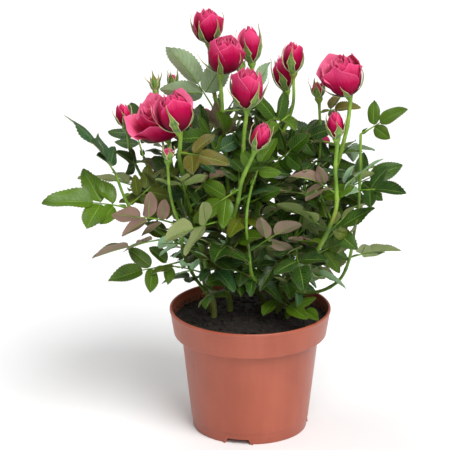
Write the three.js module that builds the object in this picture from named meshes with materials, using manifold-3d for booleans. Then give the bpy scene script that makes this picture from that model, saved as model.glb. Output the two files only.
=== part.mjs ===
// A potted miniature rose: a tapered plastic nursery pot, its soil, six rooted canes,
// the blooms and buds on their tips, and the compound leaves along them.
// Millimetres, +Z up. The origin is the centre of the pot's base, and the front is -Y.

import * as THREE from "three";
import { mergeVertices } from "three/addons/utils/BufferGeometryUtils.js";
import Module from "manifold-3d";

const wasm = await Module();
wasm.setup();

// ---------------------------------------------------------------- driving dimensions

// Pot
const POT_HEIGHT = 93.5;
const RIM_RADIUS = 60; // outside, at the lip
const RIM_BAND_HEIGHT = 20;
const RIM_BAND_TAPER = 3.2; // how much narrower the band's lower edge is
const SHOULDER = 5.6; // step in from the band to the body
const BASE_RADIUS = 43; // outside, at the foot
const FOOT_HEIGHT = 8;
const FOOT_STEP = 0.5;
const WALL = 1.3;
const LIP_ROUND = 0.5;
const DRAIN_COUNT = 3;
const DRAIN_TURN = -101.8; // azimuth of the first drain, in degrees
const DRAIN_WIDTH = 20;
const DRAIN_HEIGHT = 3.8;
const DRAIN_DEPTH = 15;
const DRAIN_SLANT = 2;
const DRAIN_HOLE_RADIUS = 3.5;
const POT_FACETS = 40;

// Soil
const SOIL_BELOW_RIM = 8.5;
const SOIL_CROWN = 1.2; // how much higher the middle of the soil stands
const ROOT_DEPTH = 18;
const COLLAR = 4; // a rooted stem stands upright for this far out of the soil

// Plant
const NOMINAL_HEIGHT = 232; // soil to the highest petal in the growth plan below
const PLANT_HEIGHT = 232;
const STEM_SIDES = 6;
const STEM_STEP = 18;
const MAIN_STEM_RADIUS = 2.1;
const SHOOT_RADIUS = 1.5;
const TWIG_RADIUS = 1.15;
const PETIOLE_HALF_WIDTH = 0.7;
const BLADE_THICKNESS = 0.8;
const BLADE_LIFT = 12; // degrees that the side leaflets rise from the stalk
const LEAF_DROOP = 0.12; // how far a leaf's tip sinks, as a share of the leaf's length
const LEAFLET_SLENDERNESS = 0.54; // width of a leaflet as a share of its length
const SIDE_LEAFLET_ANGLE = 62; // degrees between the stalk and its side leaflets
const HIP_HEIGHT = 5;
const HIP_RADIUS = 3.1;
const BUD_MOUTH = 0.45; // the mouth's width as a share of the widest part, on a closed bud
const BLOOM_MOUTH = 0.92; // and on an open bloom
const HOLLOW = 0.35; // depth of an open bloom's cup, as a share of its height

// Between pieces that touch
const GAP = 0.3;

// ---------------------------------------------------------------- growth plan

// Each shoot lists the points that its stem passes through: x, y from the pot's axis and z
// from the soil, in mm, for a plant NOMINAL_HEIGHT tall. The first shoot of a cane is rooted.
const CANES = {
  cane_left_front: {
    left_main: [MAIN_STEM_RADIUS, [-27, 1, 0], [-29, 0, 21], [-33, -4, 45], [-39, -8, 67]],
    left_front: [SHOOT_RADIUS, [-39, -8, 67], [-43, -14, 85], [-47, -22, 103], [-48, -28, 117],
      [-51, -38, 135], [-50, -43, 152]],
    left_open: [SHOOT_RADIUS, [-39, -8, 67], [-48, -6, 90], [-57, -6, 112], [-60, -7, 126],
      [-59, -8, 137]],
    left_far: [TWIG_RADIUS, [-39, -8, 67], [-52, 0, 80], [-67, 4, 92], [-80, 6, 108],
      [-88, 4, 127], [-90, 2, 142]],
    left_leafy: [TWIG_RADIUS, [-33, -4, 45], [-48, -12, 60], [-66, -19, 73], [-84, -26, 89],
      [-91, -28, 102], [-97, -26, 118]],
  },
  cane_left_rear: {
    rear_left_main: [SHOOT_RADIUS, [-30, 14, 0], [-33, 12, 15]],
    left_slender: [TWIG_RADIUS, [-33, 12, 15], [-41, 8, 28], [-46, 0, 41], [-50, -14, 58],
      [-50, -26, 77], [-55, -36, 95], [-58, -44, 113], [-59, -50, 133]],
    rear_left: [SHOOT_RADIUS, [-33, 12, 15], [-38, 24, 45], [-42, 38, 78], [-44, 49, 98],
      [-42, 57, 112]],
    rear_left_leafy: [TWIG_RADIUS, [-38, 24, 45], [-54, 31, 66], [-70, 38, 88], [-80, 42, 112]],
  },
  cane_centre: {
    centre_main: [MAIN_STEM_RADIUS, [-15, 14, 0], [-17, 10, 20], [-18, 0, 45], [-16, -10, 66]],
    centre_front: [SHOOT_RADIUS, [-16, -10, 66], [-14, -20, 79], [-9, -32, 102], [-6, -40, 120],
      [2, -50, 142]],
    centre_tall: [SHOOT_RADIUS, [-16, -10, 66], [-16, -8, 94], [-18, -4, 124], [-20, -4, 150],
      [-22, -5, 185]],
    centre_top: [SHOOT_RADIUS, [-18, -4, 124], [-20, 3, 142], [-25, 10, 162], [-29, 14, 184],
      [-30, 15, 202]],
    centre_leafy: [TWIG_RADIUS, [-18, 0, 45], [-15, 18, 72], [-12, 34, 102], [-10, 44, 134]],
  },
  cane_middle: {
    middle_main: [MAIN_STEM_RADIUS, [10, 30, 0], [4, 27, 12], [0, 22, 24], [-1, 8, 52]],
    middle_front: [SHOOT_RADIUS, [-1, 8, 52], [-5, -2, 73], [-4, -7, 86], [-5, -14, 107],
      [-5, -26, 146], [-3, -34, 167]],
    middle_top: [SHOOT_RADIUS, [-5, -14, 107], [-1, -4, 122], [4, 8, 150], [3, 16, 172],
      [1, 18, 186]],
    twin_stalk: [SHOOT_RADIUS, [-1, 8, 52], [5, 4, 70], [9, 2, 96], [15, 2, 122], [28, 6, 152]],
    twin_front: [TWIG_RADIUS, [28, 6, 152], [31, 3, 166], [31, 2, 183]],
    twin_rear: [TWIG_RADIUS, [28, 6, 152], [26, 11, 159], [27, 15, 166]],
  },
  cane_right: {
    right_main: [MAIN_STEM_RADIUS, [21, 10, 0], [23, 5, 24]],
    right_bud: [TWIG_RADIUS, [23, 5, 24], [27, 0, 43], [34, -4, 68], [42, 0, 92], [47, 2, 103],
      [51, 7, 134], [50, 9, 162]],
    right_front: [SHOOT_RADIUS, [23, 5, 24], [37, -8, 44], [49, -19, 60], [57, -28, 79],
      [62, -31, 96], [61, -34, 128], [62, -35, 145]],
    front_slender: [TWIG_RADIUS, [22, 7, 12], [12, -6, 24], [2, -18, 38], [-1, -27, 62],
      [-3, -31, 82], [-2, -31, 98], [1, -29, 112]],
  },
  cane_right_rear: {
    rear_right_main: [MAIN_STEM_RADIUS, [25, 21, 0], [30, 20, 10], [35, 18, 24]],
    right_open: [SHOOT_RADIUS, [35, 18, 24], [40, 14, 42], [48, 8, 68], [57, 2, 96],
      [64, -3, 123], [70, -7, 150], [72, -9, 170]],
    right_arch: [TWIG_RADIUS, [30, 20, 10], [42, 13, 14], [56, 6, 20], [67, -3, 32],
      [73, -10, 50], [76, -13, 71], [79, -12, 93], [80, -5, 144]],
    rear_right: [SHOOT_RADIUS, [35, 18, 24], [37, 32, 52], [40, 46, 82], [42, 56, 99]],
  },
};

// Each bloom: the shoot whose tip carries it, the azimuth it leans to, its lean, its length
// with the hip, its widest radius, and how far it is open, from 0 (bud) to 1.
const BLOOMS = {
  bloom_top: ["centre_top", 225, 6, 29, 10.5, 0.45],
  bloom_upper_left: ["centre_tall", -45, 11, 31, 13, 0.7],
  bud_upper_middle: ["middle_top", 135, 6, 31, 8, 0.15],
  bloom_middle: ["middle_front", -70, 6, 33, 11.5, 0.5],
  bud_twin_front: ["twin_front", 180, 2, 27, 7.5, 0.1],
  bud_twin_rear: ["twin_rear", 150, 14, 29, 7, 0.1],
  bud_green: ["right_bud", 153, 6, 20, 4.8, 0],
  bloom_right: ["right_open", 207, 17, 33, 14.5, 0.9],
  bud_right: ["right_front", 225, 9, 24, 6.3, 0.05],
  bud_front: ["centre_front", -37, 23, 25, 7, 0.1],
  bloom_left_open: ["left_open", 212, 24, 35, 16.5, 1],
  bloom_left_front: ["left_front", 190, 13, 32, 13.5, 0.6],
  bud_far_left: ["left_far", 180, 11, 22, 5.8, 0.05],
  bud_left_small: ["left_slender", -60, 5, 16, 4, 0],
  bloom_rear_left: ["rear_left", 115, 22, 31, 14, 0.7],
  bloom_rear_right: ["rear_right", 70, 16, 30, 11, 0.45],
};

// Each leaf: its shoot, where on it as a share of the shoot's length, the azimuth and rise of
// the stalk, the stalk's length to the end leaflet, that leaflet's length, the pairs of side
// leaflets, and the azimuth and tilt from upright that the upper side faces.
const LEAVES = [
  ["left_leafy", 0.75, -164, 15, 25, 36, 2, -90, 30],
  ["left_leafy", 1, 157, 58, 22, 34, 2, -90, -10],
  ["centre_top", 0.36, 178, 60, 26, 39, 1, 90, 67],
  ["centre_top", 0.1, 176, 24, 26, 28, 1, -90, 60],
  ["centre_tall", 0.6, -125, 22, 22, 24, 1, -90, 50],
  ["left_front", 0.87, -35, 4, 14, 25, 1, -90, 40],
  ["left_front", 0.39, -98, 45, 22, 24, 1, 90, 74],
  ["left_slender", 0.59, -148, 22, 34, 27, 2, 90, 75],
  ["centre_front", 0.28, -138, 3, 38, 32, 1, 90, 75],
  ["left_slender", 0.5, -160, 0, 40, 28, 1, 90, 28],
  ["left_slender", 0.28, -143, 2, 36, 26, 2, -90, 50],
  ["centre_main", 0.9, -97, 14, 24, 30, 2, -90, 60],
  ["centre_front", 0.62, 178, -34, 14, 27, 1, -90, 40],
  ["twin_stalk", 0.89, -125, 54, 15.5, 28, 1, -90, 40],
  ["right_bud", 0.96, -4, 14, 9.5, 19, 1, -90, 20],
  ["right_arch", 1, -14, 36, 15.5, 22, 1, -90, 40],
  ["twin_stalk", 0.62, -52, 40, 28, 23, 2, -90, 60],
  ["right_open", 0.49, -4, 26, 31, 25, 2, -90, 60],
  ["right_arch", 0.75, -40, 16, 13, 24, 1, -90, 40],
  ["right_arch", 0.43, -18, 22, 12, 26, 1, 90, 24],
  ["right_arch", 0.54, -106, 18, 19, 18, 1, -90, 80],
  ["right_bud", 0.5, -92, 28, 46, 24, 1, 90, 70],
  ["front_slender", 0.56, -12, 38, 22, 24, 1, 90, 69],
  ["right_bud", 0.28, -84, -14, 32, 26, 2, -90, 60],
  ["middle_main", 0.24, -65, 9, 51, 22, 1, -90, 48],
  ["right_main", 0.5, -62, 6, 34, 18, 1, -90, 40],
  ["rear_left_leafy", 0.6, 170, 20, 30, 30, 2, 150, 40],
  ["rear_left_leafy", 1, 110, 40, 26, 28, 2, 120, 40],
  ["rear_left", 0.45, 100, 25, 32, 30, 2, 95, 50],
  ["rear_left", 0.88, 40, 50, 26, 28, 2, 70, 36],
  ["centre_leafy", 0.6, 85, 15, 34, 30, 2, 90, 50],
  ["centre_leafy", 1, 60, 50, 26, 30, 2, 80, 40],
  ["rear_right", 0.4, 60, 10, 34, 30, 2, 70, 55],
  ["rear_right", 0.7, 130, 30, 28, 28, 2, 100, 45],
  ["rear_right", 0.8, 0, 25, 28, 28, 2, 30, 40],
  ["right_open", 0.3, 40, 20, 34, 30, 2, 45, 45],
];

// ---------------------------------------------------------------- geometry tools

const radians = THREE.MathUtils.degToRad;
const growth = PLANT_HEIGHT / NOMINAL_HEIGHT;
const soilTop = POT_HEIGHT - SOIL_BELOW_RIM;
const soilEdge = soilTop - SOIL_CROWN;

function material(color, roughness) {
  return new THREE.MeshStandardMaterial({ color, roughness, metalness: 0 });
}

function toSolid(geometry) {
  const bare = geometry.clone();
  bare.deleteAttribute("normal");
  bare.deleteAttribute("uv");
  const merged = mergeVertices(bare, 1e-4);
  return new wasm.Manifold(
    new wasm.Mesh({
      numProp: 3,
      vertProperties: merged.attributes.position.array,
      triVerts: new Uint32Array(merged.index.array),
    }),
  );
}

function toGeometry(solid) {
  const mesh = solid.getMesh();
  const geometry = new THREE.BufferGeometry();
  geometry.setAttribute("position", new THREE.BufferAttribute(mesh.vertProperties, 3));
  geometry.setIndex(new THREE.BufferAttribute(mesh.triVerts, 1));
  geometry.computeVertexNormals();
  return geometry;
}

function union(solids) {
  return solids.reduce((sum, solid) => sum.add(solid));
}

function direction(azimuth, rise) {
  const level = Math.cos(radians(rise));
  return new THREE.Vector3(
    level * Math.cos(radians(azimuth)),
    level * Math.sin(radians(azimuth)),
    Math.sin(radians(rise)),
  );
}

// A round bar along a curve; its flat ends are square to the curve.
function bar(curve, radius, sides, steps) {
  const section = new THREE.Shape();
  for (let i = 0; i < sides; i++) {
    const turn = (i / sides) * 2 * Math.PI;
    section[i ? "lineTo" : "moveTo"](radius * Math.cos(turn), radius * Math.sin(turn));
  }
  const options = { extrudePath: curve, steps, bevelEnabled: false };
  return toSolid(new THREE.ExtrudeGeometry(section, options));
}

// A solid of revolution from [radius, height] pairs. Lathes turn about Y, so it is stood up.
function turned(profile, segments) {
  const points = profile.map(([r, z]) => new THREE.Vector2(r, z));
  return new THREE.LatheGeometry(points, segments).rotateX(Math.PI / 2);
}

// ---------------------------------------------------------------- pot

const rimInner = RIM_RADIUS - WALL;
const bandBottom = POT_HEIGHT - RIM_BAND_HEIGHT;
const bandBottomRadius = RIM_RADIUS - RIM_BAND_TAPER;
const bodyTopRadius = bandBottomRadius - SHOULDER;
const ledge = bandBottom + WALL; // the floor of the band, inside

// Outer radius of the body at a height below the band.
function bodyRadius(z) {
  return THREE.MathUtils.lerp(BASE_RADIUS, bodyTopRadius, z / bandBottom);
}

// Outer radius of the band at a height in it.
function bandRadius(z) {
  return THREE.MathUtils.mapLinear(z, bandBottom, POT_HEIGHT, bandBottomRadius, RIM_RADIUS);
}

// A trapezoid as wide as a drain at the foot, run outwards from one radius to another.
function drainBlock(width, height, from, to) {
  const profile = new THREE.Shape();
  profile.moveTo(-width / 2, 0);
  profile.lineTo(width / 2, 0);
  profile.lineTo(width / 2 - DRAIN_SLANT, height);
  profile.lineTo(-width / 2 + DRAIN_SLANT, height);
  const options = { depth: to - from, bevelEnabled: false };
  const block = new THREE.ExtrudeGeometry(profile, options);
  // The profile is drawn in X and Y and run along Z: stand it up and run it along +X.
  block.rotateX(Math.PI / 2).rotateZ(Math.PI / 2).translate(from, 0, 0);
  return block;
}

function drainTurns() {
  return Array.from({ length: DRAIN_COUNT }, (_, i) => radians(DRAIN_TURN + (360 / DRAIN_COUNT) * i));
}

function drainRoofs(clearance) {
  const width = DRAIN_WIDTH + 2 * (WALL + clearance);
  const height = DRAIN_HEIGHT + WALL + clearance;
  const inner = BASE_RADIUS - DRAIN_DEPTH - WALL - clearance;
  const outer = BASE_RADIUS - WALL / 2;
  return drainTurns().map((turn) => toSolid(drainBlock(width, height, inner, outer).rotateZ(turn)));
}

function makePot() {
  const foot = bodyRadius(FOOT_HEIGHT);
  const shell = toSolid(
    turned(
      [
        [0, 0],
        [BASE_RADIUS - FOOT_STEP, 0],
        [foot - FOOT_STEP, FOOT_HEIGHT],
        [foot, FOOT_HEIGHT + FOOT_STEP],
        [bodyTopRadius, bandBottom],
        [bandBottomRadius - FOOT_STEP, bandBottom],
        [bandBottomRadius, bandBottom + FOOT_STEP],
        [RIM_RADIUS - LIP_ROUND, POT_HEIGHT - 2 * LIP_ROUND],
        [RIM_RADIUS, POT_HEIGHT - LIP_ROUND],
        [RIM_RADIUS - LIP_ROUND, POT_HEIGHT],
        [rimInner, POT_HEIGHT],
        [bandRadius(ledge) - WALL, ledge],
        [bodyRadius(ledge) - WALL, ledge],
        [bodyRadius(WALL) - WALL, WALL],
        [0, WALL],
      ],
      POT_FACETS,
    ),
  );
  const cavities = drainTurns().map((turn) => {
    const inner = BASE_RADIUS - DRAIN_DEPTH;
    return toSolid(drainBlock(DRAIN_WIDTH, DRAIN_HEIGHT, inner, BASE_RADIUS + WALL).rotateZ(turn));
  });
  const holes = drainTurns().map((turn) => {
    const hole = new THREE.CylinderGeometry(DRAIN_HOLE_RADIUS, DRAIN_HOLE_RADIUS, 4 * WALL, 16);
    const reach = BASE_RADIUS - DRAIN_DEPTH / 2 - WALL;
    hole.rotateX(Math.PI / 2).translate(reach, 0, DRAIN_HEIGHT + WALL / 2).rotateZ(turn);
    return toSolid(hole);
  });
  return shell.add(union(drainRoofs(0))).subtract(union(cavities)).subtract(union(holes));
}

// ---------------------------------------------------------------- soil

function makeSoil() {
  const bed = toSolid(
    turned(
      [
        [0, WALL + GAP],
        [bodyRadius(WALL) - WALL - GAP, WALL + GAP],
        [bodyRadius(ledge) - WALL - GAP, ledge + GAP],
        [bandRadius(ledge) - WALL - GAP, ledge + GAP],
        [bandRadius(soilEdge) - WALL - GAP, soilEdge],
        [bandRadius(soilEdge) * 0.6, soilTop - SOIL_CROWN / 3],
        [0, soilTop],
      ],
      POT_FACETS,
    ),
  );
  const sockets = Object.values(CANES).map((shoots) => {
    const [radius, root] = Object.values(shoots)[0];
    const place = new THREE.Vector3(...root).multiplyScalar(growth);
    const depth = ROOT_DEPTH + GAP;
    const socket = new THREE.CylinderGeometry(radius + GAP, radius + GAP, depth + SOIL_CROWN, 10);
    socket.rotateX(Math.PI / 2).translate(place.x, place.y, soilTop - (depth - SOIL_CROWN) / 2);
    return toSolid(socket);
  });
  return bed.subtract(union(drainRoofs(GAP))).subtract(union(sockets));
}

// ---------------------------------------------------------------- stems

// Each shoot by name: its curve and radius.
const shoots = {};
for (const cane of Object.values(CANES)) {
  for (const [name, [radius, ...plan]] of Object.entries(cane)) {
    const points = plan.map(([x, y, z]) => new THREE.Vector3(x * growth, y * growth, z * growth + soilTop));
    const [root] = points;
    if (root.z === soilTop) points.splice(1, 0, new THREE.Vector3(root.x, root.y, root.z + COLLAR));
    shoots[name] = { radius, curve: new THREE.CatmullRomCurve3(points, false, "centripetal") };
  }
}

// A stem is drawn as this many straight lengths.
function stemSteps(curve) {
  return Math.max(2, Math.round(curve.getLength() / STEM_STEP));
}

// The middle of a drawn stem, at a share of its length.
function stemPoint({ curve }, at) {
  const steps = stemSteps(curve);
  const step = Math.min(Math.floor(at * steps), steps - 1);
  return curve.getPointAt(step / steps).lerp(curve.getPointAt((step + 1) / steps), at * steps - step);
}

// The bloom that a shoot carries, if any, with the axis it opens along.
function bloomOn(shoot) {
  const entry = Object.entries(BLOOMS).find(([, plan]) => plan[0] === shoot);
  if (!entry) return null;
  const [name, [, azimuth, lean, length, radius, open]] = entry;
  return { name, axis: direction(azimuth, 90 - lean), length, radius, open };
}

// A hip: the green swelling under the petals, from the stem's tip along the bloom's axis.
function hip(shoot, axis) {
  const tip = shoots[shoot].curve.getPoint(1);
  const overlap = SHOOT_RADIUS;
  const cone = new THREE.CylinderGeometry(HIP_RADIUS, shoots[shoot].radius, HIP_HEIGHT + overlap, 8);
  cone.translate(0, (HIP_HEIGHT - overlap) / 2, 0);
  cone.applyQuaternion(new THREE.Quaternion().setFromUnitVectors(new THREE.Vector3(0, 1, 0), axis));
  return toSolid(cone.translate(tip.x, tip.y, tip.z));
}

function makeCane(cane) {
  const names = Object.keys(cane);
  const [rootRadius] = cane[names[0]];
  const root = shoots[names[0]].curve.getPoint(0);
  const peg = new THREE.CylinderGeometry(rootRadius, rootRadius, ROOT_DEPTH, STEM_SIDES);
  peg.rotateX(Math.PI / 2).translate(root.x, root.y, root.z - ROOT_DEPTH / 2 + GAP);
  const pieces = [toSolid(peg)];
  for (const name of names) {
    const { curve, radius } = shoots[name];
    pieces.push(bar(curve, radius, STEM_SIDES, stemSteps(curve)));
    const bloom = bloomOn(name);
    if (bloom) pieces.push(hip(name, bloom.axis));
  }
  return union(pieces);
}

// ---------------------------------------------------------------- blooms

// A closed cup of petals that stands on its hip; an open bloom is wider at the top, and hollow.
function makeBloom(shoot) {
  const { axis, length, radius, open } = bloomOn(shoot);
  const height = (length - HIP_HEIGHT) * growth;
  const wide = radius * growth;
  const mouth = wide * THREE.MathUtils.lerp(BUD_MOUTH, BLOOM_MOUTH, open);
  const dip = height * HOLLOW * open;
  const cup = turned(
    [
      [0, 0],
      [HIP_RADIUS - GAP, 0],
      [wide * 0.8, height * 0.22],
      [wide, height * 0.5],
      [THREE.MathUtils.lerp(wide, mouth, 0.4), height * 0.78],
      [mouth, height],
      [mouth * 0.45, height - dip],
      [0, height - dip],
    ],
    10,
  );
  cup.applyQuaternion(new THREE.Quaternion().setFromUnitVectors(new THREE.Vector3(0, 0, 1), axis));
  const seat = shoots[shoot].curve.getPoint(1).addScaledVector(axis, HIP_HEIGHT + GAP);
  return toSolid(cup.translate(seat.x, seat.y, seat.z));
}

// ---------------------------------------------------------------- leaves

// One side of a leaflet's outline, as [share of its length, share of its width].
const LEAFLET_SIDE = [[0.33, 0.5], [0.74, 0.36]];

// Where the pairs of side leaflets sit, as shares of the stalk, and their size, as shares of
// the end leaflet's, from the lowest pair up.
const PAIRS = {
  1: [[0.66, 0.84]],
  2: [[0.4, 0.66], [0.78, 0.82]],
};

// The outline of a compound leaf, flat in its own plane: y runs along the stalk, x across it.
function leafOutline(reach, size, pairs) {
  const plan = PAIRS[pairs];
  const swing = radians(SIDE_LEAFLET_ANGLE);
  const crowding = plan.length > 1 ? (plan[1][0] - plan[0][0]) * reach * Math.sin(swing) : reach;
  const right = [[PETIOLE_HALF_WIDTH, 0]];
  for (const [share, part] of plan) {
    const middle = share * reach;
    const length = part * size;
    const width = Math.min(length * LEAFLET_SLENDERNESS, crowding - GAP);
    const place = ([along, across], side) => {
      const u = along * length;
      const v = side * across * width;
      return [u * Math.sin(swing) - v * Math.cos(swing), middle + u * Math.cos(swing) + v * Math.sin(swing)];
    };
    right.push([PETIOLE_HALF_WIDTH, middle - PETIOLE_HALF_WIDTH]);
    right.push(...LEAFLET_SIDE.map((point) => place(point, -1)), place([1, 0], 1));
    right.push(...LEAFLET_SIDE.toReversed().map((point) => place(point, 1)));
    right.push([PETIOLE_HALF_WIDTH, middle + PETIOLE_HALF_WIDTH]);
  }
  right.push([PETIOLE_HALF_WIDTH, reach]);
  const width = size * LEAFLET_SLENDERNESS;
  right.push(...LEAFLET_SIDE.map(([along, across]) => [across * width, reach + along * size]));
  const left = right.toReversed().map(([x, y]) => [-x, y]);
  const points = [...right, [0, reach + size], ...left];
  return new THREE.Shape(points.map(([x, y]) => new THREE.Vector2(x, y)));
}

// How far from the shoot's middle line the stalk's square end starts, to clear the stem.
function stalkStart(shoot, at, along) {
  const { curve, radius } = shoots[shoot];
  const lean = THREE.MathUtils.clamp(curve.getTangentAt(at).dot(along), -0.9, 0.9);
  const across = Math.sqrt(1 - lean * lean);
  if (at === 1) return (GAP + PETIOLE_HALF_WIDTH * across) / lean;
  return (radius + GAP + PETIOLE_HALF_WIDTH * Math.abs(lean)) / across;
}

function makeLeaf([shoot, at, azimuth, rise, nominalReach, nominalSize, pairs, face, tilt]) {
  const reach = nominalReach * growth;
  const size = nominalSize * growth;
  const outline = leafOutline(reach, size, pairs);
  const plate = new THREE.ExtrudeGeometry(outline, { depth: BLADE_THICKNESS, bevelEnabled: false });
  // The side leaflets are lifted out of the plane, and the whole leaf droops to its tip.
  const corners = plate.attributes.position;
  for (let i = 0; i < corners.count; i++) {
    const lift = Math.abs(corners.getX(i)) * Math.tan(radians(BLADE_LIFT));
    const droop = (LEAF_DROOP * corners.getY(i) ** 2) / (reach + size);
    corners.setZ(i, corners.getZ(i) - BLADE_THICKNESS / 2 + lift - droop);
  }
  const along = direction(azimuth, rise);
  const across = new THREE.Vector3().crossVectors(along, direction(face, 90 - tilt)).normalize();
  const normal = new THREE.Vector3().crossVectors(across, along);
  const origin = stemPoint(shoots[shoot], at);
  origin.addScaledVector(along, stalkStart(shoot, at, along));
  const place = new THREE.Matrix4().makeBasis(across, along, normal).setPosition(origin);
  return toSolid(plate.applyMatrix4(place));
}

// ---------------------------------------------------------------- assembly

const terracotta = () => material(0xba6250, 0.4);
const peat = () => material(0x2a1d15, 0.95);
const bark = () => material(0x7aa02c, 0.6);
const petal = () => material(0xbe0050, 0.55);
const blade = () => material(0x2f6b2a, 0.4);

const rose = new THREE.Group();

function addNode(name, solid, finish) {
  const mesh = new THREE.Mesh(toGeometry(solid), finish);
  mesh.name = name;
  rose.add(mesh);
}

addNode("pot", makePot(), terracotta());
addNode("soil", makeSoil(), peat());
for (const [name, cane] of Object.entries(CANES)) addNode(name, makeCane(cane), bark());
for (const [name, [shoot]] of Object.entries(BLOOMS)) addNode(name, makeBloom(shoot), petal());
LEAVES.forEach((plan, i) => addNode(`leaf_${String(i + 1).padStart(2, "0")}`, makeLeaf(plan), blade()));

export default rose;
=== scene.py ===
"""The looks of a potted miniature rose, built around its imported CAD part.

Metres, +Z up. The origin is the centre of the pot's base, and the front is -Y.
"""

import math
import random

import bpy
import numpy as np
from mathutils import Matrix, Vector


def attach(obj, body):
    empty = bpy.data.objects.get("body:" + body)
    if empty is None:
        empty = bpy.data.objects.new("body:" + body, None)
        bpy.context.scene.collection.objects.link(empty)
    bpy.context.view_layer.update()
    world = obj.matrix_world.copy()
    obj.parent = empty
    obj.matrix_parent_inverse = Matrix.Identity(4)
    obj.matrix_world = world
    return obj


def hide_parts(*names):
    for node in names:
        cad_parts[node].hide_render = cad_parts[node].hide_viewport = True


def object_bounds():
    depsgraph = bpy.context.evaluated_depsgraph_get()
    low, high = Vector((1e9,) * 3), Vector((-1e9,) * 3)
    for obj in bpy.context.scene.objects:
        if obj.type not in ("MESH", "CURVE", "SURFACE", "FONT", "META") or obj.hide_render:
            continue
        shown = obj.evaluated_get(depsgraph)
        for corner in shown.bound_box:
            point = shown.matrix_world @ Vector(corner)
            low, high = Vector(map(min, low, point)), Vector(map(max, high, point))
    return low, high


# ---------------------------------------------------------------- driving dimensions

MM = 0.001

# Pot
POT_HEIGHT = 93.5 * MM
RIM_RADIUS = 60 * MM
RIM_BAND_HEIGHT = 20 * MM
RIM_BAND_TAPER = 3.2 * MM
SHOULDER = 5.6 * MM
BASE_RADIUS = 43 * MM
FOOT_HEIGHT = 8 * MM
FOOT_STEP = 0.5 * MM
WALL = 1.3 * MM
LIP_BEAD = 0.5 * MM
DRAIN_COUNT = 3
DRAIN_TURN = math.radians(-101.8)
DRAIN_WIDTH = 20 * MM
DRAIN_HEIGHT = 3.8 * MM
DRAIN_DEPTH = 15 * MM
DRAIN_SLANT = 2 * MM
DRAIN_HOLE_RADIUS = 3.5 * MM
POT_SEGMENTS = 160
POT_SHARP = 35

# Soil
SOIL_TOP = POT_HEIGHT - 8.5 * MM
SOIL_CROWN = 1.2 * MM
SOIL_GAP = 0.35 * MM
SOIL_FLOOR = 7 * MM
SOIL_ROUGHNESS = 1.5 * MM
CORE_RADIUS = 0.6 * MM
CRUMBS = 620
CRUMB_SIZES = [0.6, 0.8, 1.0, 1.3, 1.8]
CRUMB_MARGIN = 2.5 * MM
FIBRES = 70
FIBRE_STEP = 1.3 * MM

# Plant
MAIN = 2.2 * MM
SHOOT = 1.65 * MM
TWIG = 1.2 * MM
COLLAR = 4
ROOT_DEPTH = 12 * MM
NODE_PITCH = 24 * MM
PRICKLE_PITCH = 13 * MM
HIP_HEIGHT = 5 * MM
HIP_RADIUS = 3.1 * MM
PETIOLE = 0.62 * MM
BLADE_THICKNESS = 0.32 * MM
PETAL_THICKNESS = 0.34 * MM
BLADE_LIFT = math.tan(math.radians(12))
LEAF_DROOP = 0.12
LEAFLET_SLENDERNESS = 0.51
SIDE_LEAFLET_ANGLE = math.radians(62)
BUD_MOUTH = 0.45
BLOOM_MOUTH = 0.92
GAP = 0.3 * MM
PETIOLE_HALF_WIDTH = 0.7 * MM
GOLDEN_ANGLE = math.radians(137.5)
SEPALS = 5
GREEN_BUD_SHOWING = 0.72
SEPAL_THICKNESS = 0.4 * MM
SIDE_STALK = 0.85 * MM

# Filler foliage: the pitch of its leaves along a shoot; where its leaflets may be, which is
# behind FRONT, within REACH of the pot's axis and wider by SPREAD of the height, and under
# TOP, which is lower by FALL of the distance from the axis; and the room round each leaflet.
FILLER_PITCH = 7.6 * MM
FILLER_FRONT = -34 * MM
FILLER_REACH = 56 * MM
FILLER_SPREAD = 0.3
FILLER_TOP = 172 * MM
FILLER_FALL = 0.45
FILLER_ROOM = 6.5 * MM
FILLER_BORDER = 4 * MM
FILLER_TRIES = 18

# Camera: it looks down on the middle of the plant, with that point a little off centre
CAMERA_DROP = math.radians(18.42)
CAMERA_DISTANCE = 2.0
CAMERA_TARGET = (0, 0, 0.160)
CAMERA_SLOPE_ACROSS = -0.00936
CAMERA_SLOPE_UP = -0.001275
CAMERA_LENS = 217.1

# ---------------------------------------------------------------- growth plan

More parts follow.
